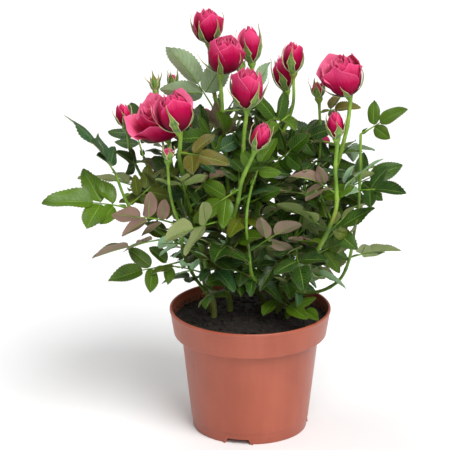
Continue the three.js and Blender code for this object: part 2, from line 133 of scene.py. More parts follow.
# Each shoot: the radius of its stem, and the points it passes through, in mm: x, y from the
# pot's axis and z from the soil. The first shoot of a cane is rooted.
CANES = {
    "left_front": {
        "left_main": [MAIN, (-27, 1, 0), (-29, 0, 21), (-33, -4, 45), (-39, -8, 67)],
        "left_front": [SHOOT, (-39, -8, 67), (-43, -14, 85), (-47, -22, 103),
                       (-48, -28, 117), (-51, -38, 135), (-50, -43, 152)],
        "left_open": [SHOOT, (-39, -8, 67), (-48, -6, 90), (-57, -6, 112), (-60, -7, 126),
                      (-59, -8, 137)],
        "left_far": [TWIG, (-39, -8, 67), (-52, 0, 80), (-67, 4, 92), (-80, 6, 108),
                     (-88, 4, 127), (-90, 2, 142)],
        "left_leafy": [TWIG, (-33, -4, 45), (-48, -12, 60), (-66, -19, 73), (-84, -26, 89),
                       (-91, -28, 102), (-97, -26, 118)],
    },
    "left_rear": {
        "rear_left_main": [SHOOT, (-30, 14, 0), (-33, 12, 15)],
        "left_slender": [TWIG, (-33, 12, 15), (-41, 8, 28), (-46, 0, 41), (-50, -14, 58),
                         (-50, -26, 77), (-55, -36, 95), (-58, -44, 113), (-59, -50, 133)],
        "rear_left": [SHOOT, (-33, 12, 15), (-38, 24, 45), (-42, 38, 78), (-44, 49, 98),
                      (-42, 57, 112)],
        "rear_left_leafy": [TWIG, (-38, 24, 45), (-54, 31, 66), (-70, 38, 88), (-80, 42, 112)],
    },
    "centre": {
        "centre_main": [MAIN, (-15, 14, 0), (-17, 10, 20), (-18, 0, 45), (-16, -10, 66)],
        "centre_front": [SHOOT, (-16, -10, 66), (-14, -20, 79), (-9, -32, 102), (-6, -40, 120),
                         (2, -50, 142)],
        "centre_tall": [SHOOT, (-16, -10, 66), (-16, -8, 94), (-18, -4, 124), (-20, -4, 150),
                        (-22, -5, 185)],
        "centre_top": [SHOOT, (-18, -4, 124), (-20, 3, 142), (-25, 10, 162), (-29, 14, 184),
                       (-30, 15, 202)],
        "centre_leafy": [TWIG, (-18, 0, 45), (-15, 18, 72), (-12, 34, 102), (-10, 44, 134)],
    },
    "middle": {
        "middle_main": [MAIN, (10, 30, 0), (4, 27, 12), (0, 22, 24), (-1, 8, 52)],
        "middle_front": [SHOOT, (-1, 8, 52), (-5, -2, 73), (-4, -7, 86), (-5, -14, 107),
                         (-5, -26, 146), (-3, -34, 167)],
        "middle_top": [SHOOT, (-5, -14, 107), (-1, -4, 122), (4, 8, 150), (3, 16, 172),
                       (1, 18, 186)],
        "twin_stalk": [SHOOT, (-1, 8, 52), (5, 4, 70), (9, 2, 96), (15, 2, 122), (28, 6, 152)],
        "twin_front": [TWIG, (28, 6, 152), (31, 3, 166), (31, 2, 183)],
        "twin_rear": [TWIG, (28, 6, 152), (26, 11, 159), (27, 15, 166)],
    },
    "right": {
        "right_main": [MAIN, (21, 10, 0), (23, 5, 24)],
        "right_bud": [TWIG, (23, 5, 24), (27, 0, 43), (34, -4, 68), (42, 0, 92), (47, 2, 103),
                      (51, 7, 134), (50, 9, 162)],
        "right_front": [SHOOT, (23, 5, 24), (37, -8, 44), (49, -19, 60), (57, -28, 79),
                        (62, -31, 96), (61, -34, 128), (62, -35, 145)],
        "front_slender": [TWIG, (22, 7, 12), (12, -6, 24), (2, -18, 38), (-1, -27, 62),
                          (-3, -31, 82), (-2, -31, 98), (1, -29, 112)],
    },
    "right_rear": {
        "rear_right_main": [MAIN, (25, 21, 0), (30, 20, 10), (35, 18, 24)],
        "right_open": [SHOOT, (35, 18, 24), (40, 14, 42), (48, 8, 68), (57, 2, 96),
                       (64, -3, 123), (70, -7, 150), (72, -9, 170)],
        "right_arch": [TWIG, (30, 20, 10), (42, 13, 14), (56, 6, 20), (67, -3, 32),
                       (73, -10, 50), (76, -13, 71), (79, -12, 93), (80, -5, 144)],
        "rear_right": [SHOOT, (35, 18, 24), (37, 32, 52), (40, 46, 82), (42, 56, 99)],
    },
}

# Each bloom, by its CAD node: the shoot whose tip carries it, the azimuth it leans to, its
# lean, its length with the hip and its widest radius in mm, how far it is open, 0 to 1, and
# how far its outer petals curl out, 0 to 1.
BLOOMS = {
    "bloom_top": ("centre_top", 225, 6, 29, 10.5, 0.45, 0.3),
    "bloom_upper_left": ("centre_tall", -45, 11, 31, 13, 0.7, 0.35),
    "bud_upper_middle": ("middle_top", 135, 6, 31, 8, 0.15, 0.12),
    "bloom_middle": ("middle_front", -70, 6, 33, 11.5, 0.5, 0.3),
    "bud_twin_front": ("twin_front", 180, 2, 27, 7.5, 0.1, 0.1),
    "bud_twin_rear": ("twin_rear", 150, 14, 29, 7, 0.1, 0.1),
    "bud_green": ("right_bud", 153, 6, 20, 4.8, 0, 0),
    "bloom_right": ("right_open", 207, 17, 33, 14.5, 0.9, 0.58),
    "bud_right": ("right_front", 225, 9, 24, 6.3, 0.05, 0.05),
    "bud_front": ("centre_front", -37, 23, 25, 7, 0.1, 0.08),
    "bloom_left_open": ("left_open", 212, 24, 35, 16.5, 1, 1),
    "bloom_left_front": ("left_front", 190, 13, 32, 13.5, 0.6, 0.24),
    "bud_far_left": ("left_far", 180, 11, 22, 5.8, 0.05, 0.05),
    "bud_left_small": ("left_slender", -60, 5, 16, 4, 0, 0),
    "bloom_rear_left": ("rear_left", 115, 22, 31, 14, 0.7, 0.8),
    "bloom_rear_right": ("rear_right", 70, 16, 30, 11, 0.45, 0.45),
}

# Small green buds on stalks of their own: the shoot that a stalk leaves and its share of the
# shoot's length, the points that the stalk passes through, and the bud's length and radius.
SIDE_BUDS = {
    "side_bud_left": ("left_open", 0.72, [(-66, 4, 142), (-69, 14, 165)], 19, 3.4),
    "side_bud_rear": ("left_open", 0.6, [(-60, 6, 140), (-58, 16, 168)], 17, 3.6),
    "side_bud_middle": ("middle_top", 0.74, [(-3, 14, 166), (-6, 17, 179)], 17, 3.6),
}

# Each leaf: its shoot, its share of the shoot's length, the azimuth and rise of its stalk,
# the stalk's length and the end leaflet's in mm, the pairs of side leaflets, the azimuth and
# tilt from upright that its upper side faces, and the tones of its two sides.
LEAVES = [
    ("left_leafy", 0.75, -164, 15, 25, 36, 2, -90, 30, "bright", "sage"),
    ("left_leafy", 1, 157, 58, 22, 34, 2, -90, -10, "blue", "sage"),
    ("centre_top", 0.36, 178, 60, 26, 39, 1, 90, 67, "blue", "mint"),
    ("centre_top", 0.1, 176, 24, 26, 28, 1, -90, 60, "dark", "sage"),
    ("centre_tall", 0.6, -125, 22, 22, 24, 1, -90, 50, "mid", "sage"),
    ("left_front", 0.87, -35, 4, 14, 25, 1, -90, 40, "young", "sage"),
    ("left_front", 0.39, -98, 45, 22, 24, 1, 90, 74, "mid", "sage"),
    ("left_slender", 0.59, -148, 22, 34, 27, 2, 90, 75, "deep", "mauve"),
    ("centre_front", 0.28, -138, 3, 38, 32, 1, 90, 75, "mid", "sage"),
    ("left_slender", 0.5, -160, 0, 40, 28, 1, 90, 28, "mid", "mauve"),
    ("left_slender", 0.28, -143, 2, 36, 26, 2, -90, 50, "bright", "sage"),
    ("centre_main", 0.9, -97, 14, 24, 30, 2, -90, 60, "deep", "sage"),
    ("centre_front", 0.62, 178, -34, 14, 27, 1, -90, 40, "bright", "sage"),
    ("twin_stalk", 0.89, -125, 54, 15.5, 28, 1, -90, 40, "mid", "sage"),
    ("right_bud", 0.96, -4, 14, 9.5, 19, 1, -90, 20, "young", "sage"),
    ("right_arch", 1, -14, 36, 15.5, 22, 1, -90, 40, "bright", "sage"),
    ("twin_stalk", 0.62, -52, 40, 28, 23, 2, -90, 60, "mid", "sage"),
    ("right_open", 0.49, -4, 26, 31, 25, 2, -90, 60, "mid", "sage"),
    ("right_arch", 0.75, -40, 16, 13, 24, 1, -90, 40, "deep", "sage"),
    ("right_arch", 0.43, -18, 22, 12, 26, 1, 90, 24, "mid", "sage"),
    ("right_arch", 0.54, -106, 18, 19, 18, 1, -90, 80, "olive", "sage"),
    ("right_bud", 0.5, -92, 28, 46, 24, 1, 90, 70, "mid", "mauve"),
    ("front_slender", 0.56, -12, 38, 22, 24, 1, 90, 69, "mid", "mauve"),
    ("right_bud", 0.28, -84, -14, 32, 26, 2, -90, 60, "deep", "sage"),
    ("middle_main", 0.24, -65, 9, 51, 22, 1, -90, 48, "bright", "sage"),
    ("right_main", 0.5, -62, 6, 34, 18, 1, -90, 40, "bright", "sage"),
    ("rear_left_leafy", 0.6, 170, 20, 30, 30, 2, 150, 40, "mid", "sage"),
    ("rear_left_leafy", 1, 110, 40, 26, 28, 2, 120, 40, "deep", "sage"),
    ("rear_left", 0.45, 100, 25, 32, 30, 2, 95, 50, "bright", "sage"),
    ("rear_left", 0.88, 40, 50, 26, 28, 2, 70, 36, "mid", "sage"),
    ("centre_leafy", 0.6, 85, 15, 34, 30, 2, 90, 50, "deep", "sage"),
    ("centre_leafy", 1, 60, 50, 26, 30, 2, 80, 40, "mid", "mint"),
    ("rear_right", 0.4, 60, 10, 34, 30, 2, 70, 55, "mid", "mauve"),
    ("rear_right", 0.7, 130, 30, 28, 28, 2, 100, 45, "bright", "sage"),
    ("rear_right", 0.8, 0, 25, 28, 28, 2, 30, 40, "deep", "sage"),
    ("right_open", 0.3, 40, 20, 34, 30, 2, 45, 45, "mid", "sage"),
]

# Small leaves at the tips of shoots that carry no bloom, laid out as the leaves above, and
# the shoots that carry no filler leaves.
END_LEAVES = [("front_slender", 1, 0, 72, 17, 21, 1, -90, 30, "bright", "sage")]
BARE_SHOOTS = ("right_arch", "front_slender", "left_slender")

# The pairs of side leaflets: their share of the stalk, and their size as a share of the end
# leaflet's, from the lowest pair up.
PAIRS = {1: [(0.66, 0.84)], 2: [(0.4, 0.66), (0.78, 0.82)]}


def shade(red, green, blue):
    """A display colour as scene-linear red, green and blue."""
    linear = []
    for value in (red, green, blue):
        part = value / 255
        linear.append(part / 12.92 if part <= 0.04045 else ((part + 0.055) / 1.055) ** 2.4)
    return tuple(linear)


UPPER_TONES = {
    "bright": shade(70, 100, 2),
    "mid": shade(40, 72, 1),
    "deep": shade(20, 52, 4),
    "dark": shade(14, 36, 2),
    "blue": shade(28, 70, 42),
    "olive": shade(78, 84, 2),
    "young": shade(106, 88, 30),
}
LOWER_TONES = {
    "sage": shade(134, 146, 90),
    "mint": shade(156, 192, 146),
    "mauve": shade(140, 116, 100),
}
FILLER_TONES = ["mid", "deep", "mid", "bright", "deep", "dark", "mid", "blue", "deep", "olive"]

# ---------------------------------------------------------------- curves and meshes


def unit(vectors):
    """The vectors, each made one long."""
    length = np.linalg.norm(vectors, axis=-1, keepdims=True)
    return vectors / np.maximum(length, 1e-12)


def direction(azimuth, rise):
    """The unit vector at an azimuth and a rise from the level, both in degrees."""
    turn, lift = math.radians(azimuth), math.radians(rise)
    level = math.cos(lift)
    return np.array([level * math.cos(turn), level * math.sin(turn), math.sin(lift)])


def blend(start, end, share):
    """The value between start and end at a share of the way."""
    return start + (end - start) * share


def ease(values, low, high):
    """0 below low, 1 above high, and smooth between them."""
    share = np.clip((values - low) / (high - low), 0, 1)
    return share * share * (3 - 2 * share)


class Path:
    """A centripetal Catmull-Rom curve through points, measured by its length."""

    SPAN_STEPS = 24

    def __init__(self, points):
        points = np.array(points, float)
        before = 2 * points[0] - points[1]
        after = 2 * points[-1] - points[-2]
        line = np.vstack([before, points, after])
        share = np.linspace(0, 1, self.SPAN_STEPS, endpoint=False)[:, None]
        made = [self._span(*line[i : i + 4], share) for i in range(len(points) - 1)]
        self.points = np.vstack([*made, points[-1:]])
        steps = np.linalg.norm(np.diff(self.points, axis=0), axis=1)
        self.lengths = np.concatenate([[0], np.cumsum(steps)])
        self.length = self.lengths[-1]

    @staticmethod
    def _span(p0, p1, p2, p3, t):
        d0, d1, d2 = (math.sqrt(np.linalg.norm(b - a)) for a, b in ((p0, p1), (p1, p2), (p2, p3)))
        leave = ((p1 - p0) / d0 - (p2 - p0) / (d0 + d1) + (p2 - p1) / d1) * d1
        arrive = ((p2 - p1) / d1 - (p3 - p1) / (d1 + d2) + (p3 - p2) / d2) * d1
        square = -3 * p1 + 3 * p2 - 2 * leave - arrive
        cube = 2 * p1 - 2 * p2 + leave + arrive
        return p1 + leave * t + square * t**2 + cube * t**3

    def at(self, share):
        """The points at these shares of the length."""
        along = np.atleast_1d(share) * self.length
        return np.stack([np.interp(along, self.lengths, axis) for axis in self.points.T], axis=1)

    def heading(self, share, reach=0.01):
        """The direction of travel at a share of the length."""
        ends = self.at([max(share - reach, 0), min(share + reach, 1)])
        return unit(ends[1] - ends[0])


class Skin:
    """The vertices, faces and per-vertex values of one mesh, gathered piece by piece."""

    def __init__(self):
        self.points, self.loops, self.sizes, self.materials = [], [], [], []
        self.values = {"place": [], "upper": [], "lower": []}
        self.count = 0

    def add(self, points, faces, material=0, place=(0, 0, 0), upper=(0, 0, 0), lower=(0, 0, 0)):
        """Adds points, and faces as arrays of point numbers with 3 or 4 to a face."""
        points = np.asarray(points, float).reshape(-1, 3)
        self.points.append(points)
        for group in faces:
            group = np.asarray(group, int)
            self.loops.append((group + self.count).ravel())
            self.sizes.append(np.full(len(group), group.shape[1]))
            self.materials.append(np.full(len(group), material))
        for name, value in (("place", place), ("upper", upper), ("lower", lower)):
            self.values[name].append(np.broadcast_to(np.asarray(value, float), points.shape))
        self.count += len(points)

    def make(self, name, materials, sharp=55):
        """The mesh object, smooth but for edges sharper than so many degrees."""
        mesh = bpy.data.meshes.new(name)
        loops, sizes = np.concatenate(self.loops), np.concatenate(self.sizes)
        mesh.vertices.add(self.count)
        mesh.vertices.foreach_set("co", np.concatenate(self.points).ravel())
        mesh.loops.add(len(loops))
        mesh.loops.foreach_set("vertex_index", loops)
        mesh.polygons.add(len(sizes))
        mesh.polygons.foreach_set("loop_start", np.concatenate([[0], np.cumsum(sizes)[:-1]]))
        mesh.polygons.foreach_set("material_index", np.concatenate(self.materials))
        mesh.polygons.foreach_set("use_smooth", np.ones(len(sizes), bool))
        for label, arrays in self.values.items():
            attribute = mesh.attributes.new(label, "FLOAT_VECTOR", "POINT")
            attribute.data.foreach_set("vector", np.concatenate(arrays).ravel())
        mesh.update(calc_edges=True)
        mesh.validate()
        mesh.set_sharp_from_angle(angle=math.radians(sharp))
        for material in materials:
            mesh.materials.append(material)
        made = bpy.data.objects.new(name, mesh)
        bpy.context.scene.collection.objects.link(made)
        return made


def grid_faces(rows, columns, closed=False):
    """Quads over a grid of points numbered row by row, round to the first column if closed."""
    numbers = np.arange(rows * columns).reshape(rows, columns)
    if closed:
        numbers = np.hstack([numbers, numbers[:, :1]])
    corners = numbers[:-1, :-1], numbers[:-1, 1:], numbers[1:, 1:], numbers[1:, :-1]
    return np.stack([corner.ravel() for corner in corners], axis=1)


def sheet(middle, thickness):
    """A closed thin solid about a grid of points: its points, its faces, and its normals.

    The first half of the points is the side that columns crossed with rows face.
    """
    rows, columns, _ = middle.shape
    across, along = np.gradient(middle, axis=1), np.gradient(middle, axis=0)
    normals = unit(np.cross(across, along))
    half = normals * np.asarray(thickness)[..., None] / 2
    points = np.concatenate([(middle + half).reshape(-1, 3), (middle - half).reshape(-1, 3)])
    front = grid_faces(rows, columns)
    count = rows * columns
    numbers = np.arange(count).reshape(rows, columns)
    rim = np.concatenate(
        [numbers[0, :-1], numbers[:-1, -1], numbers[-1, :0:-1], numbers[:0:-1, 0]]
    )
    following = np.roll(rim, -1)
    edge = np.stack([rim, rim + count, following + count, following], axis=1)
    return points, [front, front[:, ::-1] + count, edge]


def grid(rows, columns):
    """The shares from foot to tip, as a column, and from side to side, -1 to 1, as a row."""
    return np.linspace(0, 1, rows)[:, None], np.linspace(-1, 1, columns)[None, :]


def layers(*values):
    """Values stacked into one array of points, each spread over the whole grid."""
    return np.stack(np.broadcast_arrays(*values), axis=2)


def round_points(radius, angle, height):
    """Points at a radius, angle and height round Z."""
    return layers(radius * np.cos(angle), radius * np.sin(angle), height)


def solid(name, shape, materials=(), sharp=55):
    """The mesh object of one shape's points and faces."""
    skin = Skin()
    skin.add(*shape)
    return skin.make(name, materials, sharp)


def add_both_sides(skin, middle, place, thickness, material=0, upper=(0, 0, 0), lower=(0, 0, 0)):
    """Adds a thin solid about a grid, with place's third value 1 on its second side."""
    points, faces = sheet(middle, thickness)
    second = place.copy()
    second[..., 2] = 1
    both = np.concatenate([place.reshape(-1, 3), second.reshape(-1, 3)])
    skin.add(points, faces, material, both, upper, lower)


def rings_along(points, radii, sides, turn=0.0):
    """Rings of points round a line of points, turning as little as they can."""
    points = np.asarray(points, float)
    radii = np.broadcast_to(np.asarray(radii, float), (len(points),))
    heading = unit(np.gradient(points, axis=0))
    side = np.cross(heading[0], (0, 0, 1) if abs(heading[0][2]) < 0.9 else (1, 0, 0))
    angles = turn + np.linspace(0, 2 * math.pi, sides, endpoint=False)
    rings = []
    for centre, ahead, radius in zip(points, heading, radii):
        side = unit(side - ahead * np.dot(side, ahead))
        up = np.cross(ahead, side)
        rings.append(centre + radius * (np.outer(np.cos(angles), side) + np.outer(np.sin(angles), up)))
    return np.array(rings)


def rod(points, radii, sides, turn=0.0):
    """A closed round bar along a line of points: its points and its faces."""
    rings = rings_along(points, radii, sides, turn)
    count = len(rings)
    body = grid_faces(count, sides, closed=True)
    ends = np.array([points[0], points[-1]], float)
    first = np.arange(sides)
    last = first + (count - 1) * sides
    start, finish = count * sides, count * sides + 1
    caps = [np.stack([np.roll(first, -1), first, np.full(sides, start)], axis=1),
            np.stack([last, np.roll(last, -1), np.full(sides, finish)], axis=1)]
    return np.vstack([rings.reshape(-1, 3), ends]), [body, np.vstack(caps)]


def lathe(profile, segments):
    """A closed profile of (radius, height), away from the axis, turned round Z."""
    radii, heights = np.array(profile, float).T
    angles = np.linspace(0, 2 * math.pi, segments, endpoint=False)[:, None]
    points = round_points(radii, angles, heights)
    numbers = np.arange(segments * len(profile)).reshape(segments, len(profile))
    ahead, beside = np.roll(numbers, -1, axis=0), np.roll(numbers, -1, axis=1)
    corner = np.roll(ahead, -1, axis=1)
    faces = np.stack([numbers.ravel(), ahead.ravel(), corner.ravel(), beside.ravel()], axis=1)
    return points.reshape(-1, 3), [faces]


def rounded(corners, steps=5):
    """A closed outline of (x, y, fillet) corners, with each fillet as an arc of points."""
    made = []
    count = len(corners)
    for i, (x, y, fillet) in enumerate(corners):
        here = np.array([x, y])
        back = unit(np.array(corners[i - 1][:2]) - here)
        ahead = unit(np.array(corners[(i + 1) % count][:2]) - here)
        if fillet == 0:
            made.append(here)
            continue
        half = math.acos(np.clip(np.dot(back, ahead), -1, 1)) / 2
        reach = fillet / math.tan(half)
        centre = here + unit(back + ahead) * fillet / math.sin(half)
        start, end = here + back * reach - centre, here + ahead * reach - centre
        for share in np.linspace(0, 1, steps):
            made.append(centre + unit(blend(start, end, share)) * fillet)
    return made


# ---------------------------------------------------------------- materials


class Shader:
    """A material's nodes, with short ways to add and join them."""

    def __init__(self, name):
        self.material = bpy.data.materials.new(name)
        self.material.use_nodes = True
        self.tree = self.material.node_tree
        self.surface = self.tree.nodes["Principled BSDF"]

    def add(self, kind, inputs=(), **settings):
        """A node, with its settings, and its inputs as (name or number, value or socket)."""
        node = self.tree.nodes.new("ShaderNode" + kind)
        for name, value in settings.items():
            setattr(node, name, value)
        for key, value in inputs:
            self.put(node.inputs[key], value)
        return node

    def put(self, socket, value):
        """Links a socket to another, or sets its value."""
        if isinstance(value, bpy.types.NodeSocket):
            self.tree.links.new(value, socket)
        elif isinstance(value, (tuple, list)) and socket.type == "RGBA":
            socket.default_value = (*value[:3], 1)
        else:
            socket.default_value = value

    def set(self, **sockets):
        """Sets the surface's sockets: base_color=... is its Base Color, and so on."""
        for name, value in sockets.items():
            words = name.replace("_", " ").title().replace("Ior", "IOR")
            self.put(self.surface.inputs[words], value)

    def math(self, operation, *values):
        return self.add("Math", enumerate(values), operation=operation).outputs[0]

    def times(self, first, second):
        return self.math("MULTIPLY", first, second)

    def plus(self, first, second):
        return self.math("ADD", first, second)

    def minus(self, first, second):
        return self.math("SUBTRACT", first, second)

    def fade(self, value, low, high, start=0.0, end=1.0):
        """start where value is at low, end where it is at high, and smooth between them."""
        inputs = [(0, value), (1, low), (2, high), (3, start), (4, end)]
        if low > high:
            inputs = [(0, value), (1, high), (2, low), (3, end), (4, start)]
        return self.add("MapRange", inputs, interpolation_type="SMOOTHSTEP").outputs[0]

    def mix(self, share, first, second, mode="MIX"):
        node = self.add("Mix", data_type="RGBA", blend_type=mode)
        self.put(node.inputs[0], share)
        self.put(node.inputs[6], first)
        self.put(node.inputs[7], second)
        return node.outputs[2]

    def object_place(self, stretch=(1, 1, 1)):
        """Where a point is on the object, stretched along each axis."""
        place = self.add("TexCoord").outputs["Object"]
        return self.add("Mapping", [("Vector", place), ("Scale", stretch)]).outputs[0]

    def noise(self, scale, detail=3, roughness=0.55, place=None):
        inputs = [("Scale", scale), ("Detail", detail), ("Roughness", roughness)]
        inputs.append(("Vector", place or self.object_place()))
        return self.add("TexNoise", inputs).outputs[0]

    def cells(self, scale, feature="F1", place=None):
        inputs = [("Scale", scale), ("Vector", place or self.object_place())]
        return self.add("TexVoronoi", inputs, feature=feature).outputs["Distance"]

    def ramp(self, value, stops):
        """A colour ramp of (position, colour) stops."""
        node = self.add("ValToRGB", [(0, value)])
        while len(node.color_ramp.elements) < len(stops):
            node.color_ramp.elements.new(0.5)
        for element, (position, colour) in zip(node.color_ramp.elements, stops):
            element.position = position
            element.color = (*colour, 1)
        return node.outputs[0]

    def value_of(self, name):
        """A per-vertex value of the mesh."""
        return self.add("Attribute", attribute_name=name).outputs["Vector"]

    def parts(self, vector):
        node = self.add("SeparateXYZ", [(0, vector)])
        return node.outputs[0], node.outputs[1], node.outputs[2]

    def bump(self, height, depth, strength=1.0):
        """Raises the surface by height, in shares of depth metres."""
        inputs = [("Height", height), ("Distance", depth), ("Strength", strength)]
        self.put(self.surface.inputs["Normal"], self.add("Bump", inputs).outputs[0])


def plastic_material():
    """Terracotta-coloured moulded plastic, lightly scuffed, with soil dust by the rim."""
    s = Shader("terracotta_plastic")
    place = s.object_place()
    height = s.parts(place)[2]
    cloud = s.noise(26, 4)
    flow_and_highlight = s.noise(60, 3, place=s.object_place((1, 1, 0.08)))
    speck = s.noise(900, 2)
    body = s.mix(s.fade(cloud, 0.3, 0.7), shade(151, 73, 51), shade(162, 81, 58))
    # Lighter streaks down the pot: partly moulding lines, partly a painted highlight.
    body = s.mix(s.fade(flow_and_highlight, 0.4, 0.75, 0, 0.35), body, shade(178, 97, 75))
    body = s.mix(s.fade(speck, 0.62, 0.72, 0, 0.25), body, shade(134, 60, 44))
    foot = s.fade(height, 12 * MM, 0.0, 0, 0.22)
    body = s.mix(foot, body, shade(126, 60, 44))
    # Soil clings inside the rim, between the soil's edge and the lip.
    level = s.object_place((1, 1, 0))
    radius = s.add("VectorMath", [(0, level)], operation="LENGTH").outputs["Value"]
    inner = s.fade(radius, RIM_RADIUS - 2.2 * MM, RIM_RADIUS - 2.6 * MM)
    low = s.fade(height, POT_HEIGHT - 1 * MM, SOIL_TOP + 1 * MM)
    band = s.times(low, s.math("GREATER_THAN", height, SOIL_TOP - 2 * MM))
    dust = s.times(s.times(inner, band), s.fade(s.noise(260, 4), 0.35, 0.6))
    body = s.mix(dust, body, shade(84, 56, 40))
    scuff = s.fade(s.noise(420, 2, place=s.object_place((1, 1, 0.1))), 0.6, 0.72)
    rough = s.plus(s.fade(cloud, 0.2, 0.8, 0.33, 0.44), s.times(scuff, 0.12))
    grain = s.plus(s.times(s.noise(1500, 2), 0.5), s.times(flow_and_highlight, 0.5))
    s.set(base_color=body, roughness=s.plus(rough, s.times(dust, 0.4)))
    s.set(ior=1.49)
    s.bump(grain, 0.1 * MM, 0.35)
    return s.material


def soil_material():
    """Damp peat: near black, with paler fibres and grains."""
    s = Shader("peat")
    clods = s.noise(180, 5, 0.65)
    grains = s.cells(900)
    body = s.ramp(clods, [(0.3, shade(10, 7, 5)), (0.52, shade(26, 18, 12)), (0.75, shade(56, 40, 26))])
    pale = s.fade(s.noise(700, 2), 0.66, 0.74)
    body = s.mix(s.times(pale, 0.5), body, shade(120, 94, 64))
    moss = s.fade(s.noise(70, 3), 0.62, 0.72, 0, 0.5)
    body = s.mix(moss, body, shade(62, 70, 28))
    s.set(base_color=body, roughness=s.fade(clods, 0.3, 0.7, 0.78, 0.96))
    s.bump(s.plus(clods, s.times(grains, 0.6)), 0.8 * MM, 0.8)
    return s.material


def stem_material():
    """Young green bark, flushed yellow and rust, with fine lines along it."""
    s = Shader("green_bark")
    height = s.parts(s.object_place())[2]
    patch = s.noise(70, 3)
    lines = s.noise(1400, 2, place=s.object_place((1, 1, 0.12)))
    body = s.ramp(s.plus(patch, s.fade(height, 0.1, 0.28, -0.12, 0.1)),
                  [(0.3, shade(74, 104, 32)), (0.5, shade(108, 148, 40)), (0.72, shade(146, 182, 62))])
    body = s.mix(s.fade(lines, 0.35, 0.7, 0, 0.3), body, shade(90, 122, 38))
    rust = s.times(s.fade(s.noise(45, 2), 0.56, 0.7), s.fade(lines, 0.3, 0.7, 0.3, 0.6))
    body = s.mix(rust, body, shade(128, 84, 42))
    foot = s.fade(height, SOIL_TOP + 26 * MM, SOIL_TOP, 0, 0.75)
    body = s.mix(s.times(foot, s.fade(patch, 0.3, 0.6)), body, shade(92, 76, 42))
    s.set(base_color=body, roughness=s.fade(patch, 0.3, 0.7, 0.42, 0.58))
    s.set(subsurface_weight=0.08, subsurface_scale=0.001)
    s.bump(s.plus(lines, s.noise(400, 2)), 0.12 * MM, 0.6)
    return s.material


def prickle_material():
    """Rusty to straw-coloured prickles."""
    s = Shader("prickle")
    s.set(base_color=s.mix(s.noise(500), shade(150, 84, 58), shade(176, 150, 84)), roughness=0.45)
    return s.material


def petal_material():
    """Velvety petals, crimson on the outer face and paler on the inner, with painted shade darkening them
    to the foot and painted light making them pinker to the rim and on the inner face.
    """
    s = Shader("rose_petal")
    height, across, inner = s.parts(s.value_of("place"))
    tone = s.parts(s.value_of("upper"))[0]
    fan = s.add("CombineXYZ", [(0, across), (1, s.times(height, 0.12)), (2, tone)])
    rays = s.noise(16, 4, 0.6, place=fan.outputs[0])
    blotch = s.noise(160, 3)
    # Painted shade and light: each petal is dark at its foot, deep in the bloom where shade falls, and
    # pink at its top, where light from above falls.
    reach = s.plus(height, s.times(s.minus(rays, 0.5), 0.3))
    reach = s.plus(reach, s.times(s.minus(tone, 0.5), 0.25))
    outside_with_painted_light = s.ramp(reach, [(0.0, shade(60, 0, 18)), (0.36, shade(124, 0, 42)),
                             (0.68, shade(172, 2, 66)), (1.0, shade(220, 66, 118))])
    within_with_painted_light = s.ramp(reach, [(0.0, shade(168, 10, 46)), (0.45, shade(204, 34, 88)),
                            (1.0, shade(238, 116, 156))])
    body = s.mix(s.fade(inner, 0.3, 0.7), outside_with_painted_light, within_with_painted_light)
    body = s.mix(s.fade(blotch, 0.45, 0.75, 0, 0.16), body, shade(150, 0, 56))
    # Painted highlight: the top of each petal is made paler pink, as if caught by the light.
    edge = s.times(s.fade(height, 0.95, 1.0), 0.35)
    body = s.mix(edge, body, shade(236, 110, 150))
    s.set(base_color=body, roughness=s.fade(rays, 0.3, 0.7, 0.46, 0.62))
    s.set(sheen_weight=0.05, sheen_roughness=0.4, sheen_tint=(1.0, 0.5, 0.7))
    s.set(subsurface_weight=0.1, subsurface_scale=0.0015, subsurface_radius=(1.0, 0.2, 0.3))
    s.set(specular_ior_level=0.1)
    s.bump(s.plus(rays, s.times(s.noise(1100, 2), 0.3)), 0.25 * MM, 0.5)
    return s.material


def leaf_material():
    """Leaf blades: glossy and veined above, pale and matt below, in each leaf's own tones."""
    s = Shader("leaf_blade")
    along, across, under = s.parts(s.value_of("place"))
    side = s.math("ABSOLUTE", across)
    # Side veins leave the midrib forwards, and bend further forwards to the margin.
    swept = s.minus(along, s.times(s.math("POWER", side, 1.3), 0.3))
    wander = s.times(s.noise(120, 2), 0.06)
    saw = s.math("PINGPONG", s.times(s.plus(swept, wander), 9.0), 0.5)
    side_vein = s.times(s.fade(saw, 0.085, 0.02), s.fade(side, 1.0, 0.55, 0.15, 1))
    midrib = s.fade(side, 0.075, 0.02)
    vein = s.math("MAXIMUM", midrib, s.times(side_vein, 0.75))
    network = s.fade(s.cells(620, "DISTANCE_TO_EDGE"), 0.12, 0.02)
    cloud = s.noise(150, 4)
    patch = s.noise(45, 2)
    upper = s.mix(s.fade(cloud, 0.35, 0.75, 0, 0.35), s.value_of("upper"), shade(58, 90, 4))
    upper = s.mix(s.fade(patch, 0.5, 0.75, 0, 0.5), upper, shade(14, 38, 6))
    upper = s.mix(s.times(vein, 0.6), upper, shade(132, 164, 66))
    upper = s.mix(s.times(network, 0.12), upper, shade(120, 160, 84))
    lower = s.mix(s.fade(cloud, 0.35, 0.75, 0, 0.22), s.value_of("lower"), shade(112, 124, 70))
    lower = s.mix(s.times(vein, 0.5), lower, shade(92, 116, 62))
    body = s.mix(under, upper, lower)
    margin = s.times(s.fade(side, 0.93, 1.0), s.fade(cloud, 0.4, 0.7, 0.1, 0.5))
    body = s.mix(margin, body, shade(120, 84, 52))
    gloss = s.fade(cloud, 0.3, 0.7, 0.27, 0.4)
    rough = s.plus(gloss, s.times(under, 0.26))
    s.set(base_color=body, roughness=rough)
    s.set(subsurface_weight=0.06, subsurface_scale=0.001, specular_ior_level=0.3)
    groove = s.plus(s.times(vein, -1.0), s.times(network, -0.25))
    relief = s.times(groove, s.fade(under, 0.4, 0.6, 1.0, -1.0))
    s.bump(s.plus(relief, s.times(cloud, 0.5)), 0.35 * MM, 0.7)
    return s.material


